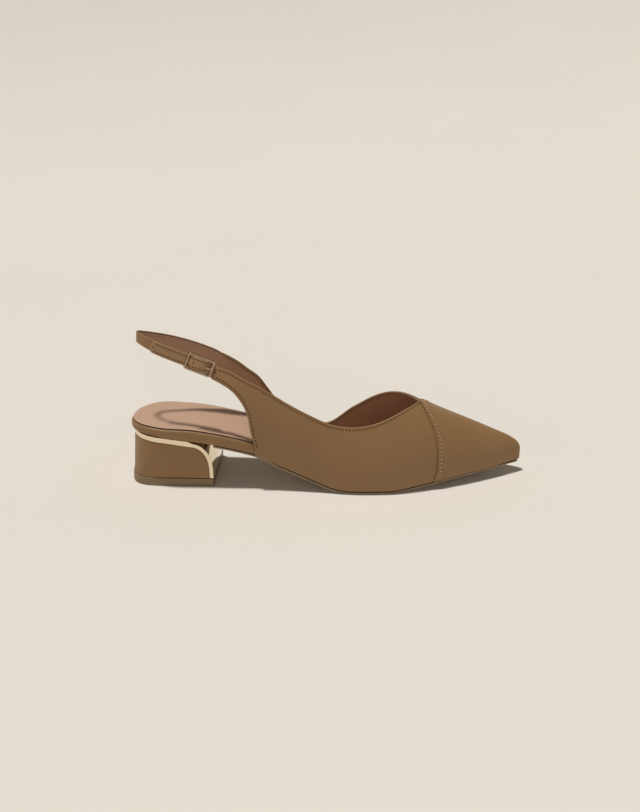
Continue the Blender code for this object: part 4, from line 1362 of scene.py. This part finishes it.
def sling_frames():
    """The strap's centre line: distances, places, directions along, across and outward, and widths."""
    route = [
        (LENGTH * x, STRAP_LOOP * y, STRAP_HEIGHT * z, lean, SLING_WIDTH * width)
        for x, y, z, lean, width in SLING
    ]
    low, high = inner_wing_end()
    lean = math.degrees(math.atan2(low[1] - high[1], high[2] - low[2]))
    route.append((*((low + high) / 2), lean, np.linalg.norm(high - low)))
    samples = np.array([spline(route, k / ROUTE_STEPS) for k in range(ROUTE_STEPS + 1)])
    centre, lean = samples[:, :3], np.radians(samples[:, 3:4])
    along = unit(np.gradient(centre, axis=0))
    level = unit(np.stack([along[:, 1], -along[:, 0], np.zeros(len(along))], axis=1))
    level *= np.sign((level * (centre - (LOOP_MIDDLE, 0.0, 0.0))).sum(axis=1, keepdims=True))
    width = np.cos(lean) * (0.0, 0.0, 1.0) - np.sin(lean) * level
    across = unit(width - along * (width * along).sum(axis=1, keepdims=True))
    outward = np.cross(along, across)
    outward *= np.sign((outward * level).sum(axis=1, keepdims=True))
    return run_lengths(centre), centre, along, across, outward, samples[:, 4]


STRAP_AT, STRAP_CENTRE, STRAP_ALONG, STRAP_ACROSS, STRAP_OUTWARD, STRAP_WIDTH = sling_frames()


def strap_points(places, outs, across):
    """Points at distances along the strap's line, moved outward and across it."""
    places, outs, across = np.broadcast_arrays(places, outs, across)
    spot = sampled(places, STRAP_AT, STRAP_CENTRE)
    spot = spot + STRAP_ALONG[0] * np.minimum(places, 0.0)[..., None]
    spot = spot + STRAP_ALONG[-1] * np.maximum(places - STRAP_AT[-1], 0.0)[..., None]
    lift = sampled(places, STRAP_AT, STRAP_OUTWARD) * outs[..., None]
    return place(spot + lift + sampled(places, STRAP_AT, STRAP_ACROSS) * across[..., None])


def sling_width(places):
    """Width of the sling, which grows from the heel to the inner wing."""
    return np.interp(places, STRAP_AT, STRAP_WIDTH)


def sling_skew(places):
    """How far the sling's sections turn from square to the line of the inner wing's end."""
    low, high = inner_wing_end()
    full = np.dot(high - low, STRAP_ALONG[-1]) / np.dot(high - low, STRAP_ACROSS[-1])
    return full * ease(np.clip(1 - (STRAP_AT[-1] - places) / SKEW_REACH, 0.0, 1.0))


outer_half = np.where(STRAP_CENTRE[:, 1] < 0)[0]
BUCKLE_STATION = outer_half[np.argmin(np.abs(STRAP_CENTRE[outer_half, 0] - BUCKLE_X))]
BUCKLE_PLACE = float(STRAP_AT[BUCKLE_STATION])


def smooth_path(points, count):
    """A finer path through places along the strap's line and distances outward from it."""
    full = [(a, b, 0.0) for a, b in points]
    return [tuple(spline(full, k / count)[:2]) for k in range(count + 1)]


def strap_section():
    """Outline of a strap: outward distances, shares of its flat width, rim distances and zones."""
    radius = STRAP_THICK / 2
    flat = np.linspace(-1, 1, 11)
    turn = np.linspace(math.pi / 2, -math.pi / 2, 9)[1:-1]
    # The groove rows between the rim and the lining are painted shade
    groove = ((-radius, 0.0, GROOVE_SHADE), (GROOVE_RIM - radius, -0.00016, GROOVE_SHADE))
    groove += ((-radius, -0.00034, INSIDE),)
    rows = [(radius + GROOVE_RIM * (1 - f * f), f, 0.0, OUTSIDE) for f in flat]
    rows += [(radius * math.sin(t), 1.0, radius * math.cos(t), OUTSIDE) for t in turn]
    rows += [(out, 1.0, rim, zone) for out, rim, zone in groove]
    rows += [(-radius, f, 0.0, INSIDE) for f in flat[-2:0:-1]]
    rows += [(out, -1.0, -rim, zone) for out, rim, zone in groove[::-1]]
    rows += [(-radius * math.sin(t), -1.0, -radius * math.cos(t), OUTSIDE) for t in turn]
    return rows


def path_normals(path):
    """Directions square to a path beside the strap's line, toward its outer face."""
    along = unit(np.gradient(path, axis=0))
    normal = np.stack([-along[:, 1], along[:, 0]], axis=1)
    return -normal if normal[len(normal) // 2, 1] < 0 else normal


def strap_mesh(path, widths, tip=0.0, skew=None, drift=None):
    """Points, faces and zones of a strap along a path, with a rounded tip at its start."""
    path = np.array(path)
    lengths = run_lengths(path)
    dense = np.arange(0, lengths[-1], 0.00045)
    if tip:
        start = tip * (1 - np.cos(np.linspace(0, math.pi / 2, 12)))
        dense = np.concatenate([start, dense[dense > tip + 0.0002]])
    dense = np.concatenate([dense, lengths[-1:]])
    line = sampled(dense, lengths, path)
    normal = path_normals(line)
    half = np.broadcast_to(widths(line[:, 0]) / 2 - STRAP_THICK / 2, len(line))
    if tip:
        share = np.clip(1 - dense / tip, 0, 1)
        half = np.maximum(half - tip * (1 - np.sqrt(1 - share ** 2)), 0.0002)
    outs, flats, rims, zones = zip(*strap_section())
    out = np.array(outs)[None, :] * np.ones((len(dense), 1))
    across = half[:, None] * np.array(flats) + np.array(rims)
    if drift is not None:
        across = across + drift(line[:, :1])
    out[0], out[1], out[-1] = out[0] * 0.4, out[1] * 0.75, out[-1] * 0.4
    places = line[:, :1] + normal[:, :1] * out
    if skew is not None:
        places = places + skew(line[:, :1]) * across
    points = strap_points(places, line[:, 1:] + normal[:, 1:] * out, across)
    stations, size = points.shape[:2]
    zones = list(zones) * (stations - 1) + [OUTSIDE, OUTSIDE]
    return points.reshape(-1, 3), capped_faces(stations, size), zones


def strap_line(path, across):
    """A line on a strap's outer face with its upward direction."""
    normal = path_normals(path)
    face = path + normal * (STRAP_THICK / 2 + STITCH_RISE)
    above = path + normal * STRAP_THICK
    spots = strap_points(face[:, 0], face[:, 1], across)
    return spots, unit(strap_points(above[:, 0], above[:, 1], across) - spots)


def billet_stitch_lines():
    """Two rows along the front strap and one across its tip."""
    path = np.array(billet_path())
    margin = BILLET_SEEN / 2 - BILLET_STITCH
    part = path[(path[:, 0] > 0.0035) & (path[:, 0] < path[0, 0] - BILLET_STITCH)]
    lines = [strap_line(part, side * margin) for side in (-1, 1)]
    height = part[0, 1] + STRAP_THICK / 2 + STITCH_RISE
    spots = strap_points(part[0, 0], height, np.linspace(-margin, margin, 12) * 0.86)
    lines.append((spots, np.broadcast_to(lines[0][1][0], spots.shape)))
    return lines


def billet_drift(places):
    """How far the front strap's middle sinks to meet the outer wing's end."""
    return BILLET_DRIFT * ease(np.clip(1 - places / DRIFT_REACH, 0.0, 1.0))


def size_hole():
    """A punched hole in the front strap, as a lens of painted shade that just stands out of its face."""
    path = np.array(billet_path())[::-1]
    middle = BUCKLE_PLACE + SIZE_HOLE_PLACE
    turn = 2 * math.pi * np.arange(HOLE_SIDES) / HOLE_SIDES
    along = middle + SIZE_HOLE_RADIUS * np.cos(turn)
    face = np.interp(along, path[:, 0], path[:, 1]) + STRAP_THICK / 2 + 0.00012
    across = SIZE_HOLE_RADIUS * np.sin(turn)
    low = strap_points(along, face - 0.0003, across)
    high = strap_points(along, face + 0.00004, across)
    return np.concatenate([low, high]), capped_faces(2, HOLE_SIDES)


def sling_path():
    """The sling's path: folded round the middle bar, then along its line to the inner wing."""
    lower = UNDER_BAR - STRAP_THICK - GAP
    bar = BUCKLE_PLACE
    path = []
    for k in range(17):
        turn = math.pi * k / 16
        path.append((bar - LOOP_RADIUS * math.sin(turn), LOOP_RADIUS * math.cos(turn)))
    lead = [path[-1], (bar + 0.004, lower - 0.0002), (bar + 0.011, lower), (bar + 0.022, lower)]
    path += smooth_path(lead, 24)[1:]
    for at in np.linspace(bar + 0.022, STRAP_AT[-1] + SEWN_IN, 120)[1:]:
        settle = min(max((at - bar - BILLET_REACH - 0.002) / 0.018, 0.0), 1.0)
        path.append((at, lower * (1 - ease(settle))))
    return path


def billet_path():
    """The front strap's path, from its free tip to the outer wing."""
    bar = BUCKLE_PLACE
    route = [
        (WING_BUTT - SEWN_IN, 0.0),
        (WING_BUTT, 0.0001),
        (bar - 0.0062, 0.0007),
        (bar - 0.0032, OVER_BAR - 0.0005),
        (bar, OVER_BAR),
        (bar + 0.0032, OVER_BAR - 0.0005),
        (bar + HALF_BUCKLE, UNDER_BAR),
        (bar + 0.0150, UNDER_BAR),
        (bar + BILLET_REACH, UNDER_BAR),
    ]
    return smooth_path(route, 120)[::-1]


# Painted light: a lighter copy of the camel leather, as the front strap catches more light than the
# quarters
LIT_FRONT_LEATHER = camel_leather("front_strap_leather_painted_light", (0.335, 0.195, 0.090), (0.300, 0.170, 0.075))
sling = strap_mesh(sling_path(), sling_width, skew=sling_skew)
make_piece("sling", sling, UPPER_FINISHES, "sling_strap")
billet = strap_mesh(billet_path(), lambda places: BILLET_SEEN, BILLET_TIP, drift=billet_drift)
finishes = [LIT_FRONT_LEATHER, LINING_FINISH, SHADE_FINISH]
make_piece("front_strap", billet, finishes, "buckle_strap")
billet_lines = billet_stitch_lines()
stitch_piece(
    "strap_stitches", SHADED_THREAD_FINISH, billet_lines, *BILLET_STITCH_SIZES, punched=[size_hole()]
)


# Buckle. A flat rectangular frame of cast and plated metal, open in the middle, with a thin middle bar
# that the sling is folded over and a prong that turns on it and rests on the front bar.

FRAME_CORNER = 0.0011


def buckle_points(along, out, across):
    """Points in the buckle's own flat frame."""
    directions = (STRAP_CENTRE, STRAP_ALONG, STRAP_OUTWARD, STRAP_ACROSS)
    middle, ahead, outward, width = (values[BUCKLE_STATION] for values in directions)
    along, out, across = np.broadcast_arrays(along, out, across)
    return place(
        middle + ahead * along[..., None] + outward * out[..., None] + width * across[..., None]
    )


def soft_square(half_a, half_b, power, count=20):
    """Outline of a rounded rectangle about its middle."""
    turn = 2 * math.pi * np.arange(count) / count
    return (
        half_a * np.sign(np.cos(turn)) * np.abs(np.cos(turn)) ** (2 / power),
        half_b * np.sign(np.sin(turn)) * np.abs(np.sin(turn)) ** (2 / power),
    )


def buckle_frame():
    """Points and faces of the outer frame."""
    half_long, half_wide = (BUCKLE_LENGTH - RAIL) / 2, (BUCKLE_WIDTH - RAIL) / 2
    spots, normals = [], []
    for quarter in range(4):
        middle_a = (half_long - FRAME_CORNER) * (1 if quarter in (0, 3) else -1)
        middle_c = (half_wide - FRAME_CORNER) * (1 if quarter in (0, 1) else -1)
        for k in range(9):
            turn = math.pi / 2 * (quarter + k / 8)
            spots.append((middle_a, middle_c))
            normals.append((math.cos(turn), math.sin(turn)))
    normals = np.array(normals)
    spots = np.array(spots) + FRAME_CORNER * normals
    wide, deep = soft_square(RAIL / 2, BAR_DEPTH / 2, 3.2)
    along = spots[:, :1] + normals[:, :1] * wide[None, :]
    across = spots[:, 1:] + normals[:, 1:] * wide[None, :]
    # The long rails are deeper than the end bars, toward the foot
    deep = np.where(deep < 0, deep * (1 + normals[:, 1:] ** 2), deep)
    points = buckle_points(along, BUCKLE_OUT + deep, across)
    return points.reshape(-1, 3), tube_faces(len(spots), len(wide), True)


def bar_points(path, half_a, half_b, power, size=14):
    """Points and faces of a bar whose path is given as along, outward, across and a share of its size."""
    path = np.array(path)
    line, shares = path[:, :3], path[:, 3][:, None, None]
    direction = unit(np.gradient(line, axis=0))
    upright = abs(direction[len(path) // 2, 2]) < 0.7
    first = np.array([0.0, 0.0, 1.0] if upright else [1.0, 0.0, 0.0])
    second = unit(np.cross(direction, first))
    a, b = soft_square(half_a, half_b, power, size)
    rings = (
        line[:, None]
        + first[None, None] * a[None, :, None] * shares
        + second[:, None] * b[None, :, None] * shares
    )
    points = buckle_points(rings[..., 0], rings[..., 1], rings[..., 2])
    return points.reshape(-1, 3), capped_faces(len(path), size)


def buckle_parts():
    """The frame, its two ears and the middle bar."""
    half_wide = BUCKLE_WIDTH / 2
    parts = [buckle_frame()]
    for side in (-1, 1):
        spot = side * (half_wide - BAR / 2)
        ear = [(0.0, -CENTRE_BAR_RADIUS - 0.0001, spot, 0.8), (0.0, -0.0003, spot, 1.0)]
        ear += [(0.0, BUCKLE_OUT - 0.0002, spot, 1.0), (0.0, BUCKLE_OUT, spot, 0.9)]
        parts.append(bar_points(ear, BAR / 2 - 0.0001, 0.0011, 3.0))
    bar = [(0.0, 0.0, c, 1.0) for c in np.linspace(-half_wide + 0.0005, half_wide - 0.0005, 6)]
    parts.append(bar_points(bar, CENTRE_BAR_RADIUS, CENTRE_BAR_RADIUS, 2.0))
    return joined(parts)


def prong_parts():
    """The prong, bent over the front bar."""
    rest = BUCKLE_OUT + BAR_DEPTH / 2 + GAP + PRONG_THICK / 2
    route = [
        (-0.0040, rest + 0.0003, 0.0, 1.0),
        (-0.0062, rest + 0.0002, 0.0, 1.0),
        (-HALF_BUCKLE + 0.0006, rest, 0.0, 1.0),
        (-HALF_BUCKLE - 0.0004, rest - 0.00003, 0.0, 0.86),
        (-HALF_BUCKLE - 0.0008, rest - 0.0001, 0.0, 0.60),
        (-HALF_BUCKLE - 0.0009, rest - 0.0001, 0.0, 0.30),
    ]
    return bar_points(route, 0.00055, PRONG_THICK / 2, 2.6)


BUCKLE_FINISH = gold_finish("rose_bronze", (0.52, 0.36, 0.245), 0.20)
make_piece("buckle_frame", buckle_parts(), [BUCKLE_FINISH], "buckle", 40.0)
make_piece("prong", prong_parts(), [BUCKLE_FINISH], "buckle_prong", 40.0)


# Stage. A pale matt floor that rises to a bowl far out, under a soft sun from nearly overhead and a
# weak wide lamp from the front, and the camera at the photograph's angle.


def add_light(name, kind, spot, target, energy, colour, size):
    """A light aimed at a point, of a width in degrees or in metres."""
    lamp = bpy.data.lights.new(name, kind)
    lamp.energy = energy
    lamp.color = colour
    if kind == "SUN":
        lamp.angle = math.radians(size)
    else:
        lamp.shape = "RECTANGLE"
        lamp.size, lamp.size_y = size
    holder = bpy.data.objects.new(name, lamp)
    holder.location = spot
    holder.visible_camera = False
    holder.rotation_euler = (Vector(target) - Vector(spot)).to_track_quat("-Z", "Y").to_euler()
    bpy.context.scene.collection.objects.link(holder)


BOWL_FLAT = 1.2
BOWL_RADIUS = 3.0
BOWL_TURN = 60
SPOKES = 96
rings = [(0.3, 0.0), (BOWL_FLAT, 0.0)]
for degrees in range(2, BOWL_TURN + 1, 2):
    turn = math.radians(degrees)
    rings.append((BOWL_FLAT + BOWL_RADIUS * math.sin(turn), BOWL_RADIUS * (1 - math.cos(turn))))
spots = [(0.0, 0.0, 0.0)]
for radius, z in rings:
    for k in range(SPOKES):
        turn = 2 * math.pi * k / SPOKES
        spots.append((radius * math.cos(turn), radius * math.sin(turn), z))
sheets = [(0, 1 + k, 1 + (k + 1) % SPOKES) for k in range(SPOKES)]
for ring in range(len(rings) - 1):
    for k in range(SPOKES):
        a, b = 1 + ring * SPOKES + k, 1 + ring * SPOKES + (k + 1) % SPOKES
        sheets.append((a, a + SPOKES, b + SPOKES, b))
# Warm pale paper without a gloss
FLOOR_FINISH = make_finish(
    "floor_paper",
    0.65,
    (0.80, 0.755, 0.69),
    (0.785, 0.74, 0.675),
    (3.0, 60.0, 0.2),
    Specular_IOR_Level=0.0,
)
ground = bpy.data.meshes.new("floor")
ground.from_pydata(spots, [], sheets)
ground.shade_smooth()
floor = bpy.data.objects.new("floor", ground)
floor.data.materials.append(FLOOR_FINISH)
bpy.context.scene.collection.objects.link(floor)

world = bpy.data.worlds.new("studio")
world.use_nodes = True
backing = world.node_tree.nodes["Background"]
backing.inputs["Color"].default_value = (1.0, 0.965, 0.91, 1.0)
backing.inputs["Strength"].default_value = 0.12
bpy.context.scene.world = world
bpy.context.scene.view_settings.view_transform = "Standard"

add_light("key", "SUN", (-0.23, 0.06, 1.20), (0.0, 0.0, 0.0), 2.50, (1.0, 0.985, 0.96), 6.0)
add_light("fill", "AREA", (0.3, -1.7, 0.9), (0.0, 0.0, 0.04), 1.3, (1.0, 0.97, 0.93), (1.4, 0.5))

lens = bpy.data.cameras.new("camera")
lens.sensor_fit = "VERTICAL"
lens.sensor_width = 36.0
lens.sensor_height = 36.0
lens.lens = 42.65
camera = bpy.data.objects.new("camera", lens)
camera.location = (0.0157, -0.5978, 0.287)
camera.rotation_euler = (math.radians(68.24), 0.0, math.radians(2.0))
bpy.context.scene.collection.objects.link(camera)
bpy.context.scene.camera = camera
